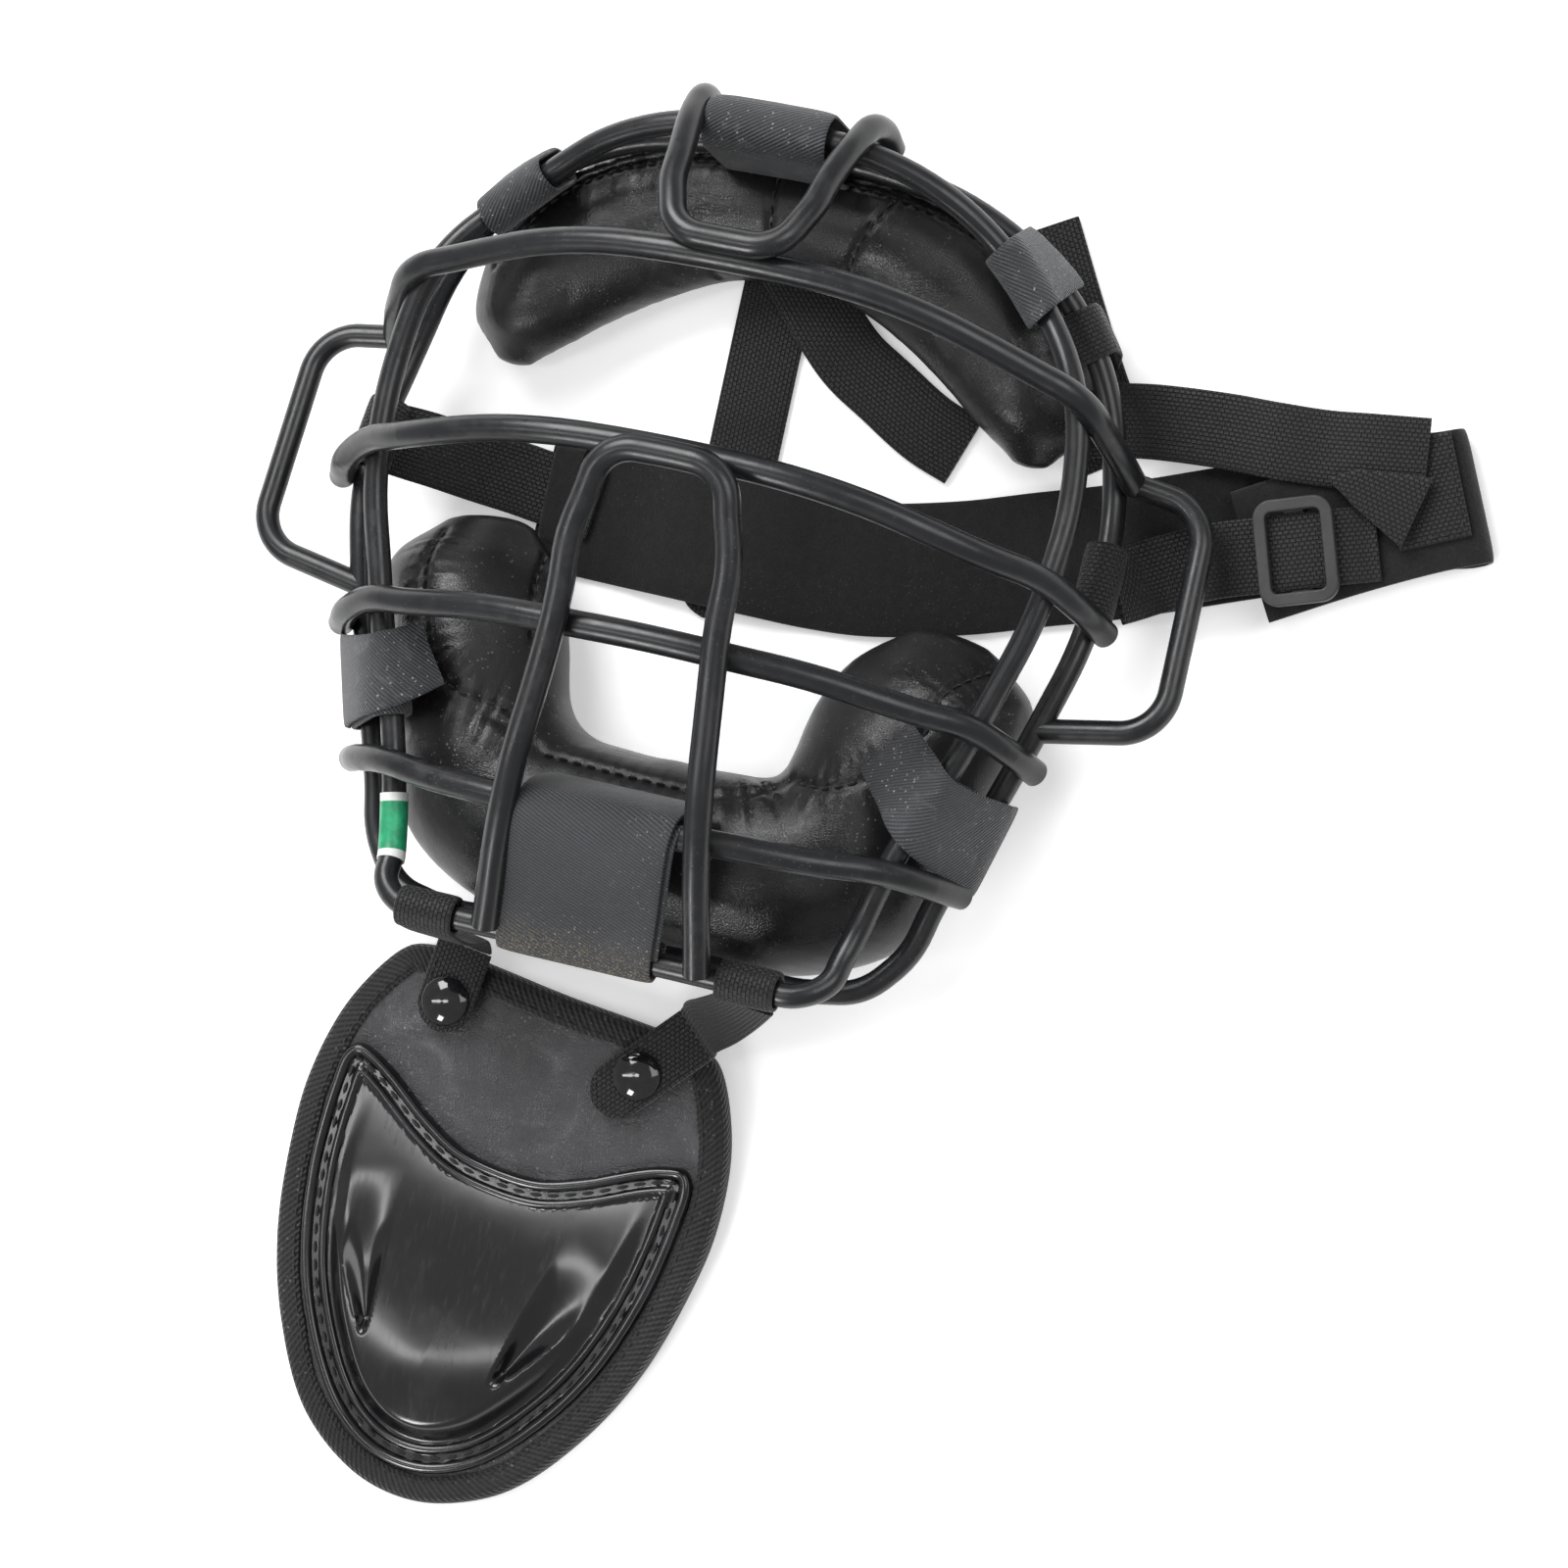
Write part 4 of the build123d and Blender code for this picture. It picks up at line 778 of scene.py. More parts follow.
def pad_rings(rows, count, inset):
    """Closed rings along a pad. A ring has four sides: the front and the back are the straight line
    between their ends plus 4x(1 - x) times the height of the crown, the other two bulge the same way.
    The corners are rounded by averaging each point with its neighbours a few times."""
    r = smooth_path(rows, count, keys=4)
    a, b = r[:, None, :2], r[:, None, 2:4]
    over = unit(b - a)
    a, b = a + over * inset, b - over * inset
    high_a, high_b = r[:, 4:5] - inset, r[:, 5:6] - inset
    crown, floor, edge = r[:, 6:7] - inset, r[:, 7:8] + inset, r[:, 8:9] + inset
    x = np.linspace(0, 1, SIDE_POINTS, endpoint=False)[None]
    hump = 4 * x * (1 - x)

    def flat(xy, z):
        return np.concatenate([np.broadcast_to(xy, z.shape + (2,)), z[..., None]], -1)

    crown_rise = crown - (high_a + high_b) / 2
    front = flat(a + (b - a) * x[..., None], high_a + (high_b - high_a) * x + hump * crown_rise)
    free = flat(b + over * (hump * SIDE_BULGE * (high_b - edge))[..., None], high_b + (edge - high_b) * x)
    back = flat(b + (a - b) * x[..., None], edge + hump * (floor - edge))
    rim = flat(a - over * (hump * SIDE_BULGE * (high_a - edge))[..., None], edge + (high_a - edge) * x)
    rings = np.concatenate([front, free, back, rim], 1)
    for _ in range(CORNER_PASSES):
        rings = (np.roll(rings, 1, 1) + 2 * rings + np.roll(rings, -1, 1)) / 4
    return rings


def closed_ends(rings, reach):
    """Rings that close both ends of a pad as half an ellipse: size by cosine, distance by sine."""
    turn = np.radians([25, 50, 70, 84])[:, None, None]
    ends = []
    for end, inner in ((rings[0], rings[1]), (rings[-1], rings[-2])):
        centre = end.mean(0)
        out = unit(centre - inner.mean(0))
        ends.append(centre + (end - centre) * np.cos(turn) + out * (reach * np.sin(turn)))
    return np.concatenate([ends[0][::-1], rings, ends[1]])


def coordinates(mesh, name="co"):
    """The points of a mesh, or their normals, as one array."""
    values = np.zeros(len(mesh.vertices) * 3)
    if name == "co":
        mesh.vertices.foreach_get("co", values)
    else:
        mesh.vertex_normals.foreach_get("vector", values)
    return values.reshape(-1, 3)


def distance_to(points, line):
    """The distance from each point to the nearest sample of a line, and that sample's number."""
    near, which = [], []
    for block in np.array_split(points, max(len(points) // 4000, 1)):
        gap = np.linalg.norm(block[:, None] - line[None], axis=2)
        which.append(gap.argmin(1))
        near.append(gap.min(1))
    return np.concatenate(near), np.concatenate(which)


def applied(piece):
    """The piece's mesh with its modifiers worked in, in place of the old one."""
    solved = piece.evaluated_get(bpy.context.evaluated_depsgraph_get())
    mesh = bpy.data.meshes.new_from_object(solved)
    piece.modifiers.clear()
    piece.data = mesh
    return mesh


def swell(piece, lines):
    """Air pressure inside the closed cover, held still along the seams, with each point's move limited."""
    remesh = piece.modifiers.new("Even faces", "REMESH")
    remesh.mode = "VOXEL"
    remesh.voxel_size = sizes().pad_voxel
    applied(piece)
    start = coordinates(piece.data)
    near, _ = distance_to(start / MM, np.vstack(lines))
    held = piece.vertex_groups.new(name="Seams")
    for weight, low, high in ((1.0, 0.0, HELD_NEAR), (0.55, HELD_NEAR, HELD_FAR)):
        chosen = np.nonzero((near >= low) & (near < high))[0]
        held.add(chosen.tolist(), weight, "REPLACE")
    cloth = piece.modifiers.new("Air", "CLOTH")
    settings = cloth.settings
    settings.vertex_group_mass = "Seams"
    settings.use_pressure = True
    settings.uniform_pressure_force = sizes().pad_pressure
    settings.effector_weights.gravity = 0
    settings.tension_stiffness = settings.compression_stiffness = 12
    settings.bending_stiffness = 0.3
    settings.mass = 0.25
    for number in range(1, SWELL_FRAMES + 1):
        bpy.context.scene.frame_set(number)
    moved = coordinates(applied(piece)) - start
    far = np.linalg.norm(moved, axis=1, keepdims=True)
    start = start + moved * np.minimum(1, sizes().pad_swell / np.maximum(far, 1e-9))
    piece.data.vertices.foreach_set("co", start.ravel())
    bpy.context.scene.frame_set(1)
    finer = piece.modifiers.new("Finer", "SUBSURF")
    finer.levels = finer.render_levels = 1
    return applied(piece)


def on_front(points, plan):
    """Places given in plan, set on the front of a pad: the height of the nearest of its points in plan, of
    those that face forward."""
    co, normal = points
    front = normal[:, 2] > 0.15
    co, normal = co[front], normal[front]
    gap = np.linalg.norm(co[None, :, :2] - plan[:, None], axis=2)
    weight = np.exp(-(gap / 1.2) ** 2) + 1e-12
    weight /= weight.sum(1, keepdims=True)
    return np.column_stack([plan, weight @ co[:, 2]]), unit(weight @ normal)


def furrow(points, normals, line, depth, width, pucker=0.0, pitch=4.5, reach=8.0):
    """Points pressed in along a seam by depth times exp(-(distance / width)^2). A pucker adds folds square
    to the seam: a sine of the length along it, fading out over its reach."""
    near, which = distance_to(points, line)
    run = run_of(line)[which]
    push = -depth * np.exp(-(near / width) ** 2)
    if pucker:
        ends = np.clip(np.minimum(run, run_of(line)[-1] - run) / 5, 0, 1)
        folds = np.sin(run * 2 * HALF_TURN / pitch + np.sin(run * 0.9) * 1.3)
        push += pucker * ends * folds * np.exp(-(near / reach) ** 2) * np.clip(near / 2, 0, 1)
    return points + normals * push[:, None]


def pad(name, rows, seams, body_node):
    """A padded cover: closed rings, swelled between its seams, with a furrow along each seam, then stitches.
    Each seam: points in plan, depth, width, size of its puckers, and whether stitches show."""
    inset = sizes().pad_inset / MM
    rings = closed_ends(pad_rings(rows, PAD_RINGS, inset), END_REACH)
    faces = ring_faces(*rings.shape[:2])
    points = rings.reshape(-1, 3)
    replaced = (body_node + "_cover", body_node + "_foam")
    piece = put(name, [(points, faces, points[:, :2])], finish(pad_leather), None, replaced,
                sharp=0)
    shown = (coordinates(piece.data) / MM, coordinates(piece.data, "normal"))
    lines = [on_front(shown, smooth_path(np.array(s[0], float), 60, keys=2))[0] for s in seams]
    mesh = swell(piece, lines)
    points, normals = coordinates(mesh) / MM, coordinates(mesh, "normal")
    laid = [on_front((points, normals), line[:, :2])[0] for line in lines]
    for line, seam in zip(laid, seams):
        points = furrow(points, normals, line, *seam[1:4])
    mesh.vertices.foreach_set("co", (points * MM).ravel())
    mesh.update()
    mesh.shade_smooth()
    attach(piece, "mask")
    points, normals = coordinates(mesh) / MM, coordinates(mesh, "normal")
    rows_of_thread = []
    for line, seam in zip(lines, seams):
        if seam[4]:
            rows_of_thread.append(beads(*on_front((points, normals), line[:, :2]),
                                        sizes().stitch_length / MM, 1.1, 0.36, lift=0.1))
    stitched(name + "_stitches", rows_of_thread, finish(thread), "mask")
    return points, normals


FOREHEAD_SEAMS = [
    ([(-82, 61.5), (-68, 81), (-53.5, 91), (-30.5, 97.8), (0, 99.4), (30.5, 97.8), (53.5, 91), (68, 81),
      (82, 61.5)], 1.0, 1.2, 0.22, True),
    ([(-4.6, 98.5), (-3.8, 89), (-3.2, 78), (-3, 74)], 1.2, 0.9, 0.0, True),
    ([(27.5, 97.5), (22.5, 87), (17.5, 76), (14.5, 71.5)], 1.2, 0.9, 0.0, True),
    ([(-22.5, 73.5), (-17.5, 68.5)], 0.6, 0.9, 0.0, False),
]
CHIN_SEAMS = [
    ([(-79, -11.5), (-77.5, -24.5), (-73, -37), (-68.5, -47), (-58.7, -53.3), (-44.4, -55.3)],
     1.1, 1.4, 0.3, True),
    ([(-50.5, -12.3), (-48.5, -24.3), (-45.5, -36)], 1.0, 1.2, 0.0, True),
    ([(79.5, -17), (70.5, -26.7), (69.4, -35), (64.2, -43.8), (56.5, -52.3), (46.2, -57.2), (37, -57.5)],
     1.1, 1.4, 0.25, True),
    ([(34.8, -57), (27, -62.3), (15, -66)], 0.9, 1.8, 0.75, False),
    ([(-56, -56.4), (-45, -58.8), (-35, -63)], 0.8, 1.8, 0.6, False),
    ([(-33, -64.5), (-14, -65.3), (2, -65.6), (15, -65.5)], 0.8, 1.3, 0.15, True),
]


def piping(line, normal, radius, wave):
    """A rolled edge: a round cord laid on a line, its radius waved by two sines."""
    run = run_of(line)
    swing = 1 + wave * (0.6 * np.sin(run * 1.1) + 0.4 * np.sin(run * 2.7 + 1))
    a = np.linspace(0, 2 * HALF_TURN, 14, endpoint=False)
    taper = np.sqrt(np.clip(np.minimum(run, run[-1] - run) / 4, 0.01, 1))
    profile = np.stack([np.cos(a), np.sin(a)], -1)[None] * (radius * swing * taper)[:, None, None]
    rings = carry(line, np.cross(normal, directions(line)), profile)
    uv = np.stack(np.broadcast_arrays(run[:, None], (a * radius)[None]), -1).reshape(-1, 2)
    return rings.reshape(-1, 3), ring_faces(*rings.shape[:2]), uv


class MASK_OT_forehead_pad(bpy.types.Operator):
    """Adds the forehead pad with its rolled top edge, cross seams and stitches."""
    bl_idname = "mask.forehead_pad"
    bl_label = "Forehead pad"

    def execute(self, context):
        points = pad("forehead_pad", whole_rows(FOREHEAD_ROWS), FOREHEAD_SEAMS, "forehead_pad")
        plan = smooth_path([(-81, 68), (-69.5, 83.3), (-52, 94), (-29, 101.2), (0, 102.8), (29, 101.2),
                            (52, 94), (69.5, 83.3), (81, 68)], 220, keys=2)
        line, normal = on_front(points, plan)
        put("forehead_rolled_edge", [piping(line + normal * 0.2, normal, 1.5, 0.22)], finish(pad_leather),
            "mask")
        return {"FINISHED"}


class MASK_OT_chin_pad(bpy.types.Operator):
    """Adds the chin pad with its cheek lobes, curved seams, puckers and stitches."""
    bl_idname = "mask.chin_pad"
    bl_label = "Chin pad"

    def execute(self, context):
        pad("chin_pad", whole_rows(CHIN_ROWS, CHIN_RIGHT), CHIN_SEAMS, "chin_pad")
        return {"FINISHED"}


# Cage

LABEL_HALF_LENGTH, LABEL_OUTER, LABEL_INNER = 9, 3.75, 3.4


class MASK_OT_cage(bpy.types.Operator):
    """Gives the wires their coating and adds the label on the rim."""
    bl_idname = "mask.cage"
    bl_label = "Cage finish"

    def execute(self, context):
        refinish(coated_wire, "rear_rim", "front_rim", "brow_bar", "upper_bar", "middle_bar", "lower_bar",
                 "nose_loop", "crown_loop", "side_loop_left", "side_loop_right")
        front = whole_rim(FRONT_RIM)
        centre = closest_on(front, (-65, -92, 50))
        along = rim_direction(front, centre, 5)
        place = np.linspace(-LABEL_HALF_LENGTH, LABEL_HALF_LENGTH, 25)
        path = rim_near(front, centre, along, place)
        a = np.linspace(0, 2 * HALF_TURN, 40, endpoint=False)
        circle = np.stack([np.cos(a), np.sin(a)], 1)
        outer, inner = (carry(path, (1, 0, 0), circle * radius) for radius in (LABEL_OUTER, LABEL_INNER))
        rings = np.concatenate([outer, inner[::-1]])
        run = np.concatenate([place, place[::-1]])
        uv = np.stack(np.broadcast_arrays(run[:, None], (a * LABEL_OUTER)[None]), -1).reshape(-1, 2)
        put("rim_label", [(rings.reshape(-1, 3), ring_faces(*rings.shape[:2], closed=True), uv)],
            finish(label_film), "mask", ("label_band",))
        return {"FINISHED"}


# Tabs

def wrap(start, width, lift=0.0):
    """A tape wrapped round both rims. At each place across the tape the loop is half a circle round the front
    rim and half a circle round the rear one, joined by straight runs, and lift keeps it further off."""
    rear_rim, front_rim = whole_rim(REAR_RIM), whole_rim(FRONT_RIM)
    rear_start = closest_on(rear_rim, start)
    ahead = (1, 0, 0) if abs(rear_start[0]) < abs(rear_start[1]) else (0, 1, 0)
    along = rim_direction(rear_rim, rear_start, width / 2, ahead)
    places = np.linspace(-width / 2, width / 2, 15)
    rear = rim_near(rear_rim, rear_start, along, places)
    front = rim_near(front_rim, rear_start, along, places)
    out = unit(front - rear)
    side = unit(np.cross(np.broadcast_to(along, out.shape), out))
    x, z = tape_profile(width, TAB_THICKNESS, 32).T
    rear, front, out, side = (np.stack([np.interp(x, places, table[:, c]) for c in range(3)], 1)[None]
                              for table in (rear, front, out, side))
    angle = np.linspace(HALF_TURN, 3 * HALF_TURN, 72, endpoint=False)[:, None, None] + 0.01
    c, s = np.cos(angle), np.sin(angle)
    radius = RIM_RADIUS + WRAP_CLEARANCE + TAB_THICKNESS / 2 + z[None] + lift
    rings = np.where(c > 0, front, rear) + (out * c + side * s) * radius[..., None]
    run = run_of(rings[:, 0])
    uv = np.stack(np.broadcast_arrays(run[:, None], x[None]), -1).reshape(-1, 2)
    return rings.reshape(-1, 3), ring_faces(*rings.shape[:2], closed=True), uv


TAIL_STEPS = 60
# Each side: where the upper tab sits and its width, the directions and widths of the lower tab's first and
# last edge, and its tail's course, with x outwards
TABS = (
    ("left", -1, (-73, 85, 25), 19.5, ((8.5, 30.7), (4.7, 15.8)), (26, 18),
     [(93.6, -57, 31), (92.6, -57, 35.5), (82.2, -54.5, 51.4), (77, -52.5, 54.5), (71, -49, 52.5),
      (65, -44.5, 49.2)]),
    ("right", 1, (70, 88, 26), 21, ((6.3, 25.3), (9.4, 14.9)), (26, 18.5),
     [(91.6, -64, 31), (91.0, -63.5, 35.5), (80.6, -59.5, 51.5), (75.6, -56, 54.6), (70, -50.5, 52.6),
      (62, -43.5, 48.0)]))


class MASK_OT_rim_tabs(bpy.types.Operator):
    """Adds the five woven tabs that hold the pads to the rims."""
    bl_idname = "mask.rim_tabs"
    bl_label = "Rim tabs"

    def execute(self, context):
        def tab(name, *shapes):
            put(name, shapes, finish(woven_tape), "mask", (name,))

        tab("crown_tab", wrap((-2, 105, 32), 34, lift=1.6))
        for word, side, upper, width, edges, ends, course in TABS:
            tab("upper_tab_" + word, wrap(upper, width))
            path = smooth_path(np.array(course, float) * (side, 1, 1), TAIL_STEPS)
            leans = [np.linspace(*lean, TAIL_STEPS) for lean in zip(*edges)]
            across = unit(np.stack([leans[0] * side, leans[1], 0 * leans[0]], 1))
            taper = np.linspace(1, ends[1] / ends[0], TAIL_STEPS)
            tail = tape(path, across, ends[0], TAB_THICKNESS, taper=taper)
            tab("lower_tab_" + word, wrap((side * 86.4, -60, 30.8), 17), tail)
        return {"FINISHED"}


class MASK_OT_chin_flap(bpy.types.Operator):
    """Adds the wide flap from the chin pad over the lower bar and round the front rim."""
    bl_idname = "mask.chin_flap"
    bl_label = "Chin flap"

    def execute(self, context):
        side_view = np.array([
            (-69.6, 45.5), (-68.8, 58.7), (-70.4, 70.6), (-73.6, 76.9), (-78.2, 78.6), (-83.4, 77.4),
            (-98.9, 68.9), (-109.3, 63.6), (-114.7, 60.4), (-115.5, 57), (-113.2, 53.7), (-108.7, 52.9),
            (-103.5, 53.7)], float)
        lean = np.interp(side_view[:, 0], (-110, -70), (-5.2, -1.6))
        path = smooth_path(np.column_stack([lean, side_view]), 110)
        width = sizes().flap_width / MM
        under = slice(34, 84)
        drop = np.cross(directions(path), (1, 0, 0))[under]
        drop = drop * -np.sign(drop[10, 2])
        second = path[under] + np.array([3.4, 0, 0]) + drop * 1.75
        shapes = [tape(path, (1, 0, 0), width, TAB_THICKNESS),
                  tape(second, (1, 0, 0), width - 4, 1.3, shift=3.0)]
        put("chin_flap", shapes, finish(flap_tape), "mask", ("chin_flap",))
        return {"FINISHED"}


# Harness

def level_across(course):
    """The level direction square to each step of a course."""
    return unit(np.stack([-course[:, 1], course[:, 0], 0 * course[:, 2]], 1))


def strap_through(points, count, width, thickness, across=None, round_last=False):
    """A strap that lies flat through points, its width level and square to its course."""
    points = np.asarray(points, float)
    if across is None:
        across = level_across(np.gradient(points, axis=0))
    both = smooth_path(np.column_stack([points, across]), count)
    path, across = both[:, :3], both[:, 3:]
    taper = round_end(run_of(path), width / 2) if round_last else None
    return tape(path, across, width, thickness, taper=taper)


def edge_stitches(points, width, inset, height):
    """Two rows of stitches along a level strap, a little inside its edges."""
    path = smooth_path(points, 80)
    across = level_across(directions(path))
    up = upwards(len(path))
    return [beads(path + across * s * (width / 2 - inset) + up * height, up, 2.6, 1.0, 0.34) for s in (-1, 1)]


def ring_round(centre, along, radius, width, thickness):
    """A tape in a closed circle round a rim."""
    angle = np.linspace(0, 2 * HALF_TURN, 56, endpoint=False)[:, None]
    along = unit(np.asarray(along, float))
    first = unit(along * along[2] - (0, 0, 1.0))
    second = np.cross(along, first)
    path = centre + (first * np.cos(angle) + second * np.sin(angle)) * radius
    return tape(path, along, width, thickness, closed=True)


LOWER_BAND = [(-60, 2, 1.2), (-34, 1.5, 1.2), (-20, 1.3, 3.0), (6, 0.9, 3.0), (20, 0.9, 1.2), (35, 2, 1.2),
              (60, 7.5, 1.2), (80, 13.8, 1.2), (100, 20, 1.2), (130, 31, 1.2), (160, 42, 1.2),
              (180, 49.5, 1.2)]
TOP_BAND = [(180, 48.3, 7.0), (160, 38.4, 7.0), (136.3, 25.2, 7.0)]
FOLD_CENTRE = np.array([188.0, 51.5, 4.1])
FOLD_HEADING = 24.5
FOLD_RADIUS = 2.9
PATCH_MIDDLE = np.array([178, 51, 9.1])
PATCH_HEADING = 24
END_TAPE = [(-54, -15.5, 3.3), (-54, -8.3, 3.3), (-54, -6.7, 5.1), (-54, 16.9, 5.1), (-54, 18.5, 3.3),
            (-54, 19.7, 3.3)]


class MASK_OT_head_band(bpy.types.Operator):
    """Adds the folded felt band with its end tape, stitched patch and hem stitches."""
    bl_idname = "mask.head_band"
    bl_label = "Head band"

    def execute(self, context):
        width, thickness = sizes().band_width / MM, sizes().band_thickness / MM
        ahead = heading_of(FOLD_HEADING)
        angle = np.radians([-90, -54, -18, 18, 54, 90])[:, None]
        fold = FOLD_CENTRE + (ahead * np.cos(angle) + np.array([0, 0, 1.0]) * np.sin(angle)) * FOLD_RADIUS
        points = np.vstack([LOWER_BAND, fold, TOP_BAND])
        widths = level_across(np.gradient(points, axis=0))
        low, high = len(LOWER_BAND), len(LOWER_BAND) + len(fold)
        widths[low - 1:high + 1] = (-ahead[1], ahead[0], 0)
        widths[high + 1:] *= -1
        shape = strap_through(points, 260, width, thickness, across=widths)
        put("head_band", [shape], finish(felt), "mask", ("head_band",))
        put("band_end_tape", [strap_through(END_TAPE, 60, 8, 1.2)], finish(felt), "mask",
            ("band_end_tape",))
        heading = heading_of(PATCH_HEADING)
        ends = [PATCH_MIDDLE + heading * reach for reach in (-9.5, -3, 3, 9.5)]
        put("band_end_patch", [strap_through(ends, 30, 28, 1.2)], finish(webbing), "mask",
            ("band_end_patch",))
        side = np.array([-heading[1], heading[0], 0])
        corners = [PATCH_MIDDLE + heading * a * 7.8 + side * b * 12.4 + (0, 0, 0.6)
                   for a, b in ((-1, -1), (1, -1), (1, 1), (-1, 1), (-1, -1))]
        rows = [beads(np.linspace(p, q, 30), upwards(30), 2.2, 0.9, 0.32)
                for p, q in zip(corners, corners[1:])]
        rows += edge_stitches(END_TAPE[3:1:-1], 8, 1.3, 0.6)
        stitched("band_stitches", rows, finish(thread), "mask")
        return {"FINISHED"}


BUCKLE = np.array([149, 29, 11.15])
BUCKLE_HEADING = 18


class MASK_OT_straps(bpy.types.Operator):
    """Adds the harness webbing: both side straps, the crown, diagonal, top and temple straps."""
    bl_idname = "mask.straps"
    bl_label = "Harness straps"

    def execute(self, context):
        width, thick = sizes().strap_width / MM, sizes().strap_thickness / MM
        ring = RIM_RADIUS + WRAP_CLEARANCE + thick / 2
        rear = whole_rim(REAR_RIM)

        def strap(name, *shapes):
            put(name, shapes, finish(webbing), "mask", (name,))

        def hung(name, start, course, lean, count):
            centre = closest_on(rear, start)
            along = rim_direction(rear, centre, 8)
            points = np.vstack([centre + np.array(lean) * ring, course])
            across = level_across(np.gradient(points, axis=0))
            across[0] = along * np.sign(along @ across[1])
            strap(name, ring_round(centre, along, ring, width, thick),
                  strap_through(points, count, width, thick, across=across))

        hung("side_strap_left", (-102, 10, 23.8),
             [(-90, 9.2, 14), (-78, 7.8, 7.2), (-66, 6.6, 4.2), (-60, 5.8, 3.45), (-52, 5.0, 3.45),
              (-44, 4.1, 3.45)], (0.62, 0, -0.78), 110)
        heading = heading_of(BUCKLE_HEADING)
        near, far = BUCKLE - heading * 22.8, BUCKLE + heading * 10.8
        end = np.append((far + heading * 7)[:2], 9.25)
        hung("side_strap_right", (102, 10, 23.8),
             [(112, 14.4, 11.6), (118, 17.6, 11.15), near, (near + far) / 2, far, end, end + heading * 3],
             (0.72, 0, -0.69), 150)
        strap("crown_strap", strap_through([(-7, y, 0.75) for y in (74.75, 50, 20, -20)], 120, width, thick,
                                           across=np.tile((1.0, 0, 0), (4, 1)), round_last=True))
        strap("diagonal_strap", strap_through(
            [(-5, 80, 2.55), (10.5, 63, 2.55), (18, 56, 1.2), (28, 50, 0.75), (42, 42, 0.75), (53, 38, 0.75)],
            90, width, thick))
        strap("top_strap", strap_through(
            [(83, 51.8, 2.55), (100, 55, 4.05), (122, 56.4, 6.94), (136, 56.4, 9.25), (150, 56.9, 9.3),
             (161, 58, 10.75), (177, 59.8, 10.75)], 110, width, thick))
        fold = np.array([(153, 48.9), (160, 53.1), (178.5, 54.5), (176.8, 35.2)], float)
        share = np.linspace(0, 1, 24)[:, None]
        upper = fold[0] + (fold[1] - fold[0]) * np.minimum(share * 3, 1) + (fold[2] - fold[1]) * np.clip(
            share * 1.5 - 0.5, 0, 1)
        lower = fold[0] + (fold[3] - fold[0]) * share
        middle = (upper + lower) / 2
        half = np.linalg.norm(upper - lower, axis=1) / 2 + 0.2
        path = np.column_stack([middle, np.full(24, 12.55)])
        across = np.column_stack([unit(upper - lower + 1e-4), np.zeros(24)])
        profile = tape_profile(2, thick)[None] * np.stack([half, np.ones(24)], 1)[:, None]
        rings = carry(path, across, profile)
        uv = np.stack(np.broadcast_arrays(run_of(path)[:, None], profile[..., 0]), -1).reshape(-1, 2)
        strap("top_strap_fold", (rings.reshape(-1, 3), ring_faces(*rings.shape[:2]), uv))

        centre = closest_on(rear, (84, 72.5, 21.3))
        along = rim_direction(rear, centre, 6)
        out = unit(np.cross(along, (0, 0, 1)))
        out = out * np.sign(out @ centre)
        points = np.array([centre + out * ring, centre + out * 4.6 - (0, 0, 8), (85, 72.5, 0.75)])
        strap("temple_strap_right", ring_round(centre, along, ring, 14, thick),
              strap_through(points, 40, 14, thick, across=np.tile(along, (3, 1))),
              strap_through([(61.5, 100.6, 0.75), (73, 79.8, 0.75), (85, 59.2, 0.75), (95.5, 43.7, 0.75)], 60,
                            width, thick))
        refinish(buckle_plastic, "slide_buckle")
        return {"FINISHED"}


# Throat guard, in its own frame: u across, v up towards the mask, w up from the floor

GUARD_ORIGIN = np.array([-22.5, -128.0, 0.0])
GUARD_TURN = np.radians(-7.5)
HALF_WIDTH, GUARD_LENGTH = 61.5, 144.5
OUTLINE = np.array([
    (0.0, 0.0), (0.68, -0.003), (0.772, -0.024), (0.935, -0.152), (1.0, -0.311), (0.976, -0.457),
    (0.894, -0.623), (0.74, -0.775), (0.504, -0.913), (0.228, -0.983), (0.0, -1.0)])
PLATE_OUTLINE = np.array([
    (0.0, -0.344), (0.195, -0.336), (0.39, -0.301), (0.6, -0.249), (0.715, -0.227), (0.805, -0.221),
    (0.855, -0.246), (0.866, -0.311), (0.839, -0.47), (0.74, -0.637), (0.585, -0.768), (0.374, -0.879),
    (0.179, -0.929), (0.0, -0.943)])
BACK_LOW, CORE_LOW, FACE_HIGH, BINDING_HIGH = 1.0, 2.2, 8.6, 9.6
PLATE_HIGH = 10.2
SNAP_V, SNAP_U = -12.3, 29.0
FOLD_V = 4.0
TAB_MIDDLE = 13.1


def to_world(points):
    """Points of the guard's frame, turned about its origin."""
    c, s = np.cos(GUARD_TURN), np.sin(GUARD_TURN)
    turn = np.array([(c, s, 0), (-s, c, 0), (0, 0, 1)])
    return np.asarray(points, float) @ turn + GUARD_ORIGIN


def on_guard_shape(rings):
    """Rings in the guard's frame as a shape, its uv the place across and along the guard."""
    points = rings.reshape(-1, 3)
    return to_world(points), ring_faces(*rings.shape[:2]), points[:, :2]


def loop_of(shares, count):
    """A symmetric closed outline from its right half."""
    half = shares * (HALF_WIDTH, GUARD_LENGTH)
    left = half[-2:0:-1] * (-1, 1)
    return smooth_path(np.vstack([half, left]), count, closed=True, keys=2)


def inwards(loop):
    """The unit normal of an outline in its plane, towards its inside."""
    along = directions(loop, closed=True)
    normal = np.stack([along[:, 1], -along[:, 0]], 1)
    return normal * np.sign(((loop.mean(0) - loop) * normal).sum(1).mean())


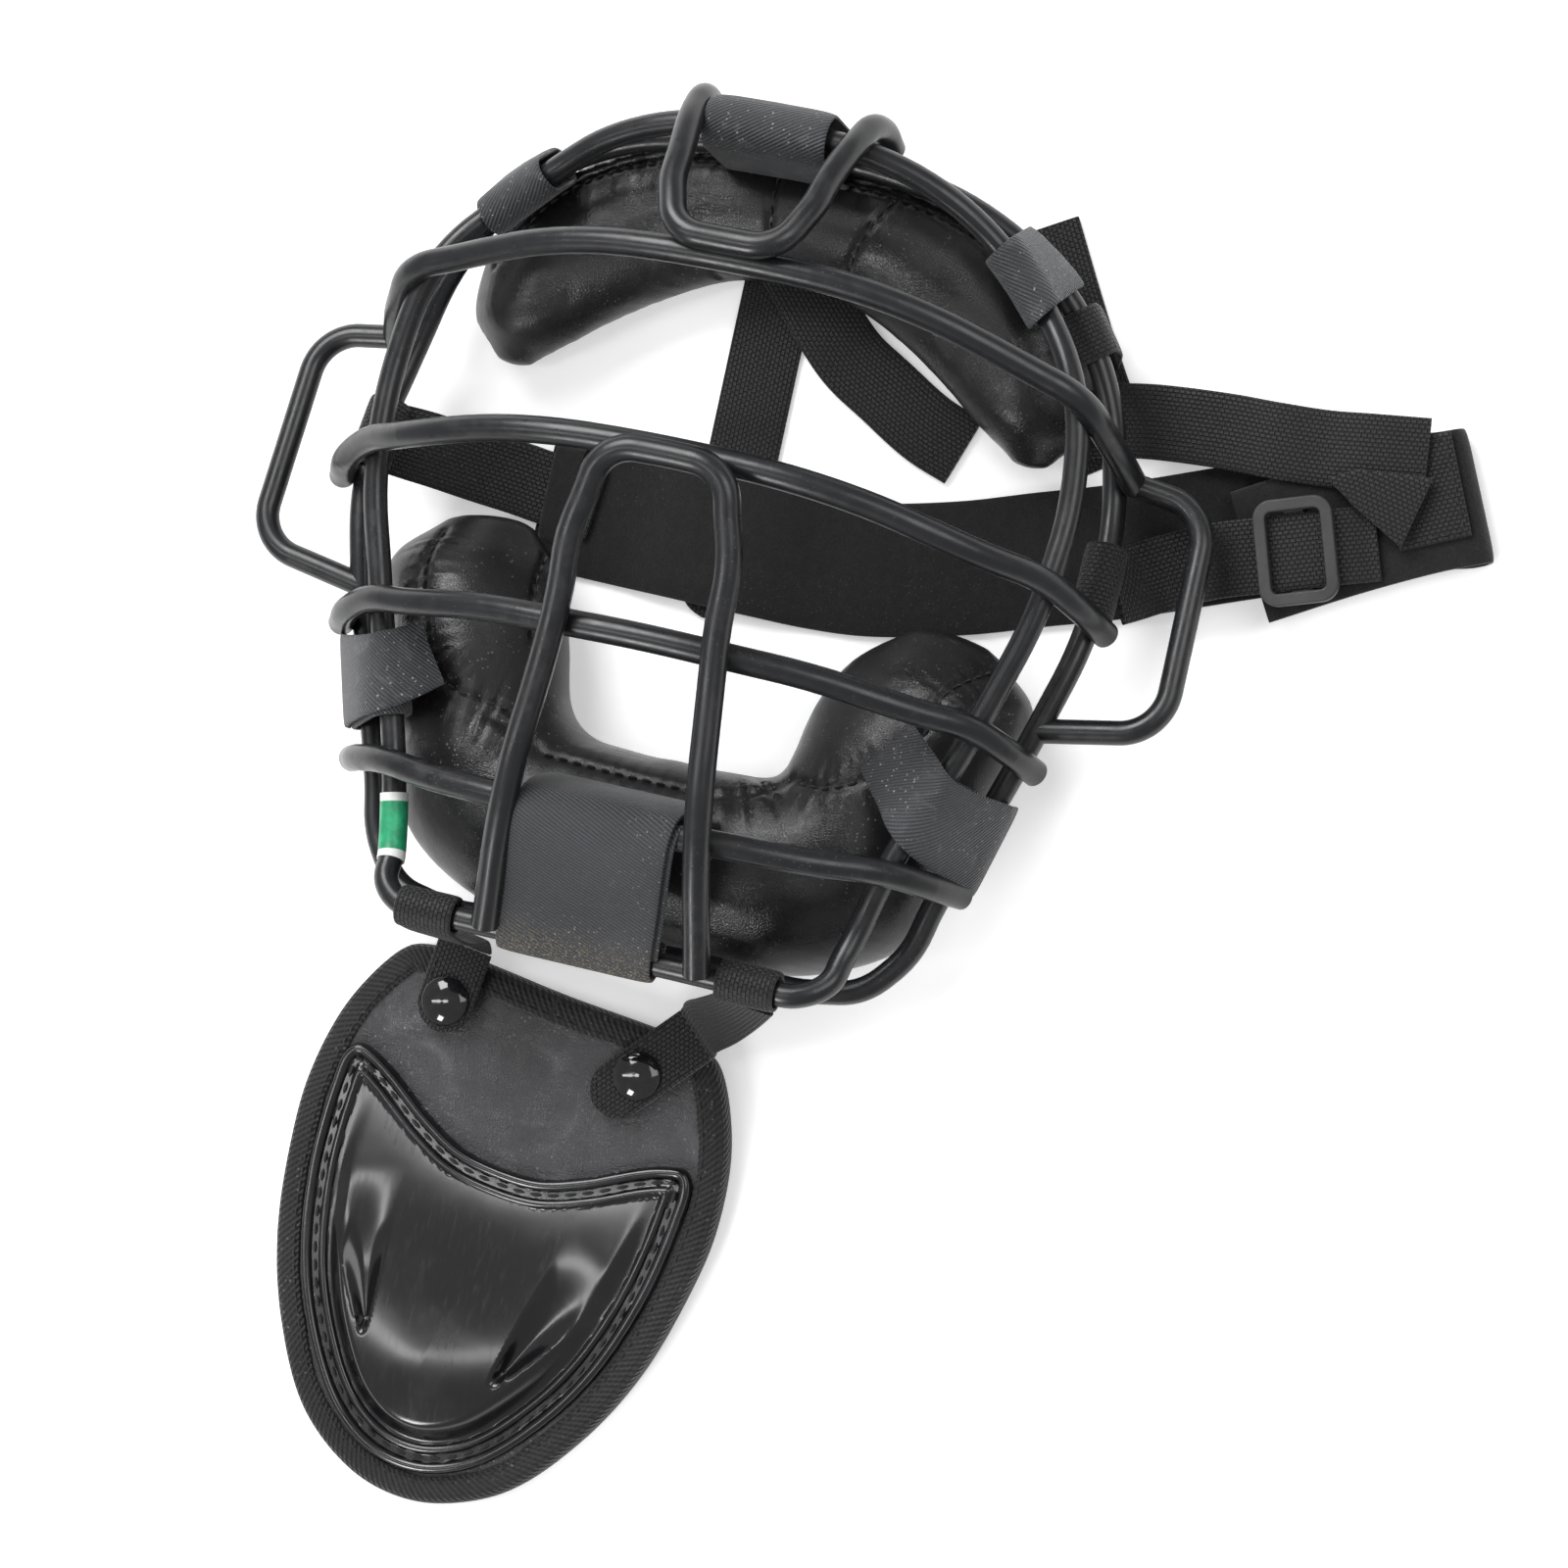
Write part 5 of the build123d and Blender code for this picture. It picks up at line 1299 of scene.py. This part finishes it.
def binding_shape():
    """A folded tape carried round the outline: its section runs from the lip on the face, round the edge
    and back to the lip below, with the lip a little wavy where it is gathered on the curves."""
    loop = loop_of(OUTLINE, 420)
    normal = inwards(loop)
    run = run_of(np.vstack([loop, loop[:1]]))[:-1]
    outer = np.array([(7.6, 9.15), (7.3, 9.6), (5.5, 9.68), (3.5, 9.66), (1.8, 9.4), (0.7, 8.5), (0.12, 7.0),
                      (0.0, 4.8), (0.12, 2.6), (0.7, 1.1), (1.8, 0.25), (3.5, 0.02), (5.5, 0.02),
                      (7.5, 0.02)])
    inner = np.array([(7.5, 0.95), (5.0, 0.97), (2.2, 1.1), (1.2, 2.4), (1.02, 4.8), (1.2, 7.2), (2.2, 8.45),
                      (5.0, 8.62), (7.4, 8.64)])
    section = np.vstack([outer, inner])
    wave = (0.32 * np.sin(run * 0.23) + 0.2 * np.sin(run * 0.61 + 1))[:, None]
    grow = section[None, :, 0] * (1 + wave * 0.06) + 0 * run[:, None]
    puff = section[None, :, 1] + 0.12 * np.sin(run * 2.05)[:, None] * (section[None, :, 1] > 9)
    rings = np.concatenate([loop[:, None] + normal[:, None] * grow[..., None], puff[..., None]], -1)
    across = run_of(section)
    uv = np.stack(np.broadcast_arrays(run[:, None], across[None]), -1).reshape(-1, 2)
    return to_world(rings.reshape(-1, 3)), ring_faces(*rings.shape[:2], closed=True), uv


def layer_shape(inset, low, high, puff=0.0):
    """A flat layer of the guard: rings from the middle of the back out to the edge and in again over the
    front, which may rise by puff times (1 - share^2)."""
    loop = loop_of(OUTLINE, 300)
    loop = loop + inwards(loop) * inset
    centre = np.array([0, -0.5 * GUARD_LENGTH])
    share = np.concatenate([np.linspace(0.02, 1, 16), np.linspace(1, 0.02, 16)])[:, None, None]
    height = np.concatenate([np.full(16, low), high + puff * (1 - np.linspace(1, 0.02, 16) ** 2)])
    flat = centre + (loop - centre)[None] * share
    rings = np.concatenate([flat, np.broadcast_to(height[:, None, None], flat.shape[:2] + (1,))], -1)
    return on_guard_shape(rings)


def eased(x, low, high):
    t = np.clip((x - low) / (high - low), 0, 1)
    return t * t * (3 - 2 * t)


def plate_height(flat, depth, from_sides, from_top):
    """Height of the moulded plate at a place whose distance from its edge is depth: a rounded outer welt, a
    channel, a rounded inner welt, then a dome that rises steeply from the sides and the bottom, gently from
    the top, and goes on in a low crown. A dent on each side is pointed at its lower end, and opens and fades
    upwards."""
    welt = np.sqrt(np.clip(1 - ((depth - 1.6) / 1.62) ** 2, 0, 1)) * 1.7
    inner = np.sqrt(np.clip(1 - ((depth - 6.6) / 1.25) ** 2, 0, 1)) * 1.2
    u, v = flat[..., 0], flat[..., 1]
    dome = 4.6 * eased(from_sides, 8.4, 14.0) * eased(from_top, 4, 62)
    crown = np.sin(np.clip((from_sides - 9) / 34, 0, 1) * HALF_TURN / 2) ** 1.1
    dome = dome + 4.2 * crown * eased(from_top, 2, 85)
    for side in (-1, 1):
        tip = np.array([side * 19.5, -105.0])
        axis = unit(np.array([side * 12.0, 30.0]))
        reach = (u - tip[0]) * axis[0] + (v - tip[1]) * axis[1]
        lateral = (u - tip[0]) * axis[1] - (v - tip[1]) * axis[0]
        half = 0.9 + 0.27 * np.clip(reach, 0, None)
        dome = dome - (3.4 * eased(reach, -0.5, 5) * (1 - eased(reach, 16, 46))
                       * np.clip(1 - (lateral / half) ** 2, 0, 1) ** 1.2)
    return PLATE_HIGH + welt + inner + dome


def plate_shape():
    """The plate: rings from its edge to its middle, close together at the edge, with plate_height above and
    a flat underside."""
    loop = loop_of(PLATE_OUTLINE, 420)
    centre = np.array([0, -0.60 * GUARD_LENGTH])
    spread = np.concatenate([np.linspace(0, 0.24, 40)[:-1], np.linspace(0.24, 0.985, 48)])
    flat = centre + (loop - centre)[None] * (1 - spread)[:, None, None]
    finer = loop_of(PLATE_OUTLINE, 900)
    top = (finer[:, 1] > -0.36 * GUARD_LENGTH) & (np.abs(finer[:, 0]) < 0.8 * HALF_WIDTH)
    depth, from_sides, from_top = (distance_to(flat.reshape(-1, 2), line)[0].reshape(flat.shape[:2])
                                   for line in (finer, finer[~top], finer[top]))
    height = plate_height(flat, depth, from_sides, from_top)
    rim = eased(depth, 0, 0.5)
    height = FACE_HIGH + (height - FACE_HIGH) * (0.55 + 0.45 * rim)
    bottom = np.concatenate([flat[:1], np.full(flat[:1].shape[:2] + (1,), FACE_HIGH + 0.02)], -1)
    rings = np.concatenate([bottom, np.concatenate([flat, height[..., None]], -1)])
    return on_guard_shape(rings)


class MASK_OT_guard(bpy.types.Operator):
    """Adds the throat guard: twill binding, leather face and back, and the moulded plate with stitches."""
    bl_idname = "mask.guard"
    bl_label = "Throat guard"

    def execute(self, context):
        put("guard_binding", [binding_shape()], finish(twill_binding), "throat_guard",
            ("guard_binding",), sharp=60)
        put("guard_face", [layer_shape(1.2, CORE_LOW + 0.05, FACE_HIGH - 0.02)], finish(guard_leather),
            "throat_guard", ("guard_face", "guard_core"))
        put("guard_back", [layer_shape(1.2, BACK_LOW + 0.02, CORE_LOW)], finish(guard_leather),
            "throat_guard", ("guard_back",))
        put("guard_plate", [plate_shape()], finish(gloss_plate), "throat_guard",
            ("guard_plate", "guard_dome_pad"), sharp=55)

        def seam(outline, count, inset, height):
            loop = loop_of(outline, count)
            line = np.column_stack([loop + inwards(loop) * inset, np.full(count, height)])
            return to_world(line), upwards(count)

        rows = [beads(*seam(PLATE_OUTLINE, 700, 4.25, PLATE_HIGH + 0.15), 3.6, 1.3, 0.52),
                beads(*seam(OUTLINE, 900, 6.2, BINDING_HIGH + 0.12), 2.4, 1.4, 0.3)]
        stitched("guard_stitches", rows, finish(thread), "throat_guard")
        refinish(snap_metal, "snap_stud_left", "snap_stud_right", "snap_post_left", "snap_post_right",
                 "snap_socket_left", "snap_socket_right")
        return {"FINISHED"}


def cap_shape(side):
    """A snap cap: its section turned round the snap's axis, a rolled rim below a low round crown."""
    section = np.array([(0.05, 13.9), (5.6, 13.9), (6.35, 13.95), (6.6, 14.15), (6.68, 14.5), (6.5, 14.9),
                        (6.1, 15.2), (5.2, 15.72), (4.2, 16.12), (3.0, 16.45), (1.6, 16.67), (0.05, 16.75)])
    section = smooth_path(section, 60, keys=2)
    angle = np.linspace(0, 2 * HALF_TURN, 72, endpoint=False)[None, :, None]
    turned = section[:, None, :1] * np.concatenate([np.cos(angle), np.sin(angle)], -1)
    height = np.broadcast_to(section[:, None, 1:], turned.shape[:2] + (1,))
    rings = np.concatenate([turned + (side * SNAP_U, SNAP_V), height], -1)
    return on_guard_shape(rings)


GUARD_STRAP_WIDTH = 16.0
GUARD_STRAP_CLEARANCE = 0.8
# Each strap: its side, its loop's place on the rim, how far its end goes past the snap, its lean and its bow
GUARD_STRAPS = (("left", -1, -47.5, 8.5, 0.0, 1.5), ("right", 1, 42.0, 14.5, np.radians(36), 0.5))


class MASK_OT_guard_straps(bpy.types.Operator):
    """Adds the straps that carry the guard, with their snap tabs."""
    bl_idname = "mask.guard_straps"
    bl_label = "Guard straps"

    def execute(self, context):
        black = finish(webbing)
        thick = sizes().strap_thickness / MM
        width = GUARD_STRAP_WIDTH
        radius = RIM_RADIUS + GUARD_STRAP_CLEARANCE + thick / 2
        for word, side, loop_x, tail, lean, bow in GUARD_STRAPS:
            centre = np.array([loop_x, -110.86, 57.97])
            start = centre - (0, radius, 0)
            down = np.array([-np.sin(lean), -np.cos(lean)])
            fold = np.array([side * SNAP_U, SNAP_V]) - down * (FOLD_V - SNAP_V) / np.cos(lean)

            def on_guard(reach, height):
                return to_world(np.append(fold + down * reach, TAB_MIDDLE + height))

            last = on_guard(-3.2, 6.0)
            bowed = [start + (last - start) * t - (0, bow * t * (1 - t) * 4, 0) for t in (0.3, 0.65)]
            points = [start, *bowed, last, on_guard(-1.6, 2.6), on_guard(-0.7, 1.3), on_guard(-0.2, 0.75)]
            level = to_world([-down[1], down[0], 0]) - GUARD_ORIGIN
            turned = np.array([0, 0.3, 0.65, 1, 1, 1, 1])[:, None]
            across = np.array([1.0, 0, 0]) * (1 - turned) + level * turned
            leg = strap_through(points, 90, width, thick, across=unit(across))
            put("guard_strap_" + word, [ring_round(centre, (1, 0, 0), radius, width, thick), leg], black,
                "guard_straps", ("guard_strap_" + word,))
            length = (FOLD_V - SNAP_V) / np.cos(lean) + tail
            path = to_world(np.append(fold + down * np.linspace(0.6, length, 60)[:, None],
                                      np.full((60, 1), TAB_MIDDLE), 1))
            name = "snap_tab_" + word
            shape = tape(path, level, width, thick, taper=round_end(run_of(path), width / 2))
            put(name, [shape], black, "strap_tab_" + word, (name,))
            a = np.linspace(HALF_TURN, 2 * HALF_TURN, 60)
            inner = width / 2 - 1.6
            arc = np.column_stack([np.cos(a) * inner, np.sin(a) * inner])
            lower = width / 2 - length
            left_run = np.column_stack([np.full(20, -inner), np.linspace(-6, lower, 20)])
            line = np.vstack([left_run, arc + (0, lower), left_run[::-1] * (-1, 1)])
            line = smooth_path(line[::4], 150, keys=2)
            line = fold - line[:, 1:] * down + line[:, :1] * (-down[1], down[0])
            put("snap_cap_" + word, [cap_shape(side)], finish(cap_gloss), "strap_tab_" + word,
                ("snap_cap_" + word,), sharp=0)
            line = to_world(np.column_stack([line, np.full(len(line), TAB_MIDDLE + thick / 2)]))
            stitched(name + "_stitches", [beads(line, upwards(len(line)), 2.0, 1.0, 0.28)], finish(thread),
                     "strap_tab_" + word)
        return {"FINISHED"}


# Stage

def camera_at(eye, forward, up, lens):
    """A camera from its place, its view direction and its up direction."""
    camera = bpy.data.objects.new("Camera", bpy.data.cameras.new("Camera"))
    bpy.context.scene.collection.objects.link(camera)
    back = -Vector(forward).normalized()
    right = Vector(up).cross(back).normalized()
    turn = Matrix((right, back.cross(right), back)).transposed()
    camera.matrix_world = Matrix.Translation(eye) @ turn.to_4x4()
    camera.data.lens = lens
    camera.data.sensor_width = 36
    camera.data.clip_start, camera.data.clip_end = 0.05, 20
    bpy.context.scene.camera = camera


def softbox(name, place, target, size, power):
    lamp = bpy.data.objects.new(name, bpy.data.lights.new(name, "AREA"))
    bpy.context.scene.collection.objects.link(lamp)
    lamp.data.shape = "RECTANGLE"
    lamp.data.size, lamp.data.size_y = size
    lamp.data.energy = power
    lamp.location = place
    lamp.rotation_euler = (Vector(target) - Vector(place)).to_track_quat("-Z", "Y").to_euler()


FLOOR_REACH, FLOOR_HEIGHT = 6, -0.0004


class MASK_OT_stage(bpy.types.Operator):
    """Adds the floor, the soft light and the camera at the photograph's angle."""
    bl_idname = "mask.stage"
    bl_label = "Stage"

    def execute(self, context):
        scene = context.scene
        scene.view_settings.view_transform = "Standard"
        mesh = bpy.data.meshes.new("floor")
        corners = [(x * FLOOR_REACH, y * FLOOR_REACH, FLOOR_HEIGHT)
                   for x, y in ((-1, -1), (1, -1), (1, 1), (-1, 1))]
        mesh.from_pydata(corners, [], [(0, 1, 2, 3)])
        floor = bpy.data.objects.new("floor", mesh)
        scene.collection.objects.link(floor)
        paper = bpy.data.materials.new("White floor")
        paper.use_nodes = True
        tree = paper.node_tree
        shader = tree.nodes["Principled BSDF"]
        shader.inputs["Base Color"].default_value = (0.86, 0.86, 0.86, 1)
        shader.inputs["Roughness"].default_value = 0.9
        shader.inputs["Specular IOR Level"].default_value = 0.1
        ray = tree.nodes.new("ShaderNodeLightPath")
        seen = sums(tree, "MAXIMUM", ray.outputs["Is Camera Ray"], ray.outputs["Is Glossy Ray"])
        glow = sums(tree, "MULTIPLY", seen, 0.36)
        shader.inputs["Emission Color"].default_value = (1, 1, 1, 1)
        tree.links.new(glow, shader.inputs["Emission Strength"])
        mesh.materials.append(paper)

        world = bpy.data.worlds.new("Studio")
        world.use_nodes = True
        background = world.node_tree.nodes["Background"].inputs
        background["Color"].default_value = (1, 1, 1, 1)
        background["Strength"].default_value = 0.42
        scene.world = world
        softbox("Key", (-0.75, 0.95, 1.25), (0, 0, 0), (0.9, 0.9), 26)
        softbox("Fill", (1.0, 0.5, 1.4), (0, 0, 0), (0.9, 0.9), 8)
        softbox("Low", (-0.45, -1.2, 0.9), (0, -0.1, 0), (0.3, 0.5), 9)
        softbox("Side", (-0.9, -0.35, 1.9), (0, -0.15, 0), (0.16, 1.4), 7)
        camera_at((0.3811, -0.0348, 1.2803), (-0.2689, -0.0184, -0.9630), (-0.2088, 0.9772, 0.0397), 113.2)
        return {"FINISHED"}


class MASK_PT_panel(bpy.types.Panel):
    """Lists the operators, sizes and colours."""
    bl_label = "Face Mask"
    bl_idname = "MASK_PT_panel"
    bl_space_type = "VIEW_3D"
    bl_region_type = "UI"
    bl_category = "Face Mask"

    def draw(self, context):
        for kind in OPERATORS:
            self.layout.operator(kind.bl_idname)
        for settings in (context.scene.mask_sizes, context.scene.mask_colours):
            for key in settings.__annotations__:
                self.layout.prop(settings, key)


OPERATORS = (MASK_OT_stage, MASK_OT_cage, MASK_OT_forehead_pad, MASK_OT_chin_pad, MASK_OT_rim_tabs,
             MASK_OT_chin_flap, MASK_OT_head_band, MASK_OT_straps, MASK_OT_guard, MASK_OT_guard_straps)
CLASSES = (MaskSizes, MaskColours) + OPERATORS + (MASK_PT_panel,)


def register():
    for kind in CLASSES:
        bpy.utils.register_class(kind)
    bpy.types.Scene.mask_sizes = bpy.props.PointerProperty(type=MaskSizes)
    bpy.types.Scene.mask_colours = bpy.props.PointerProperty(type=MaskColours)


def unregister():
    del bpy.types.Scene.mask_colours
    del bpy.types.Scene.mask_sizes
    for kind in reversed(CLASSES):
        bpy.utils.unregister_class(kind)


def main():
    """Makes every piece in order."""
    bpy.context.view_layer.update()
    register()
    for kind in OPERATORS:
        area, name = kind.bl_idname.split(".")
        getattr(getattr(bpy.ops, area), name)()


if __name__ == "__main__":
    main()
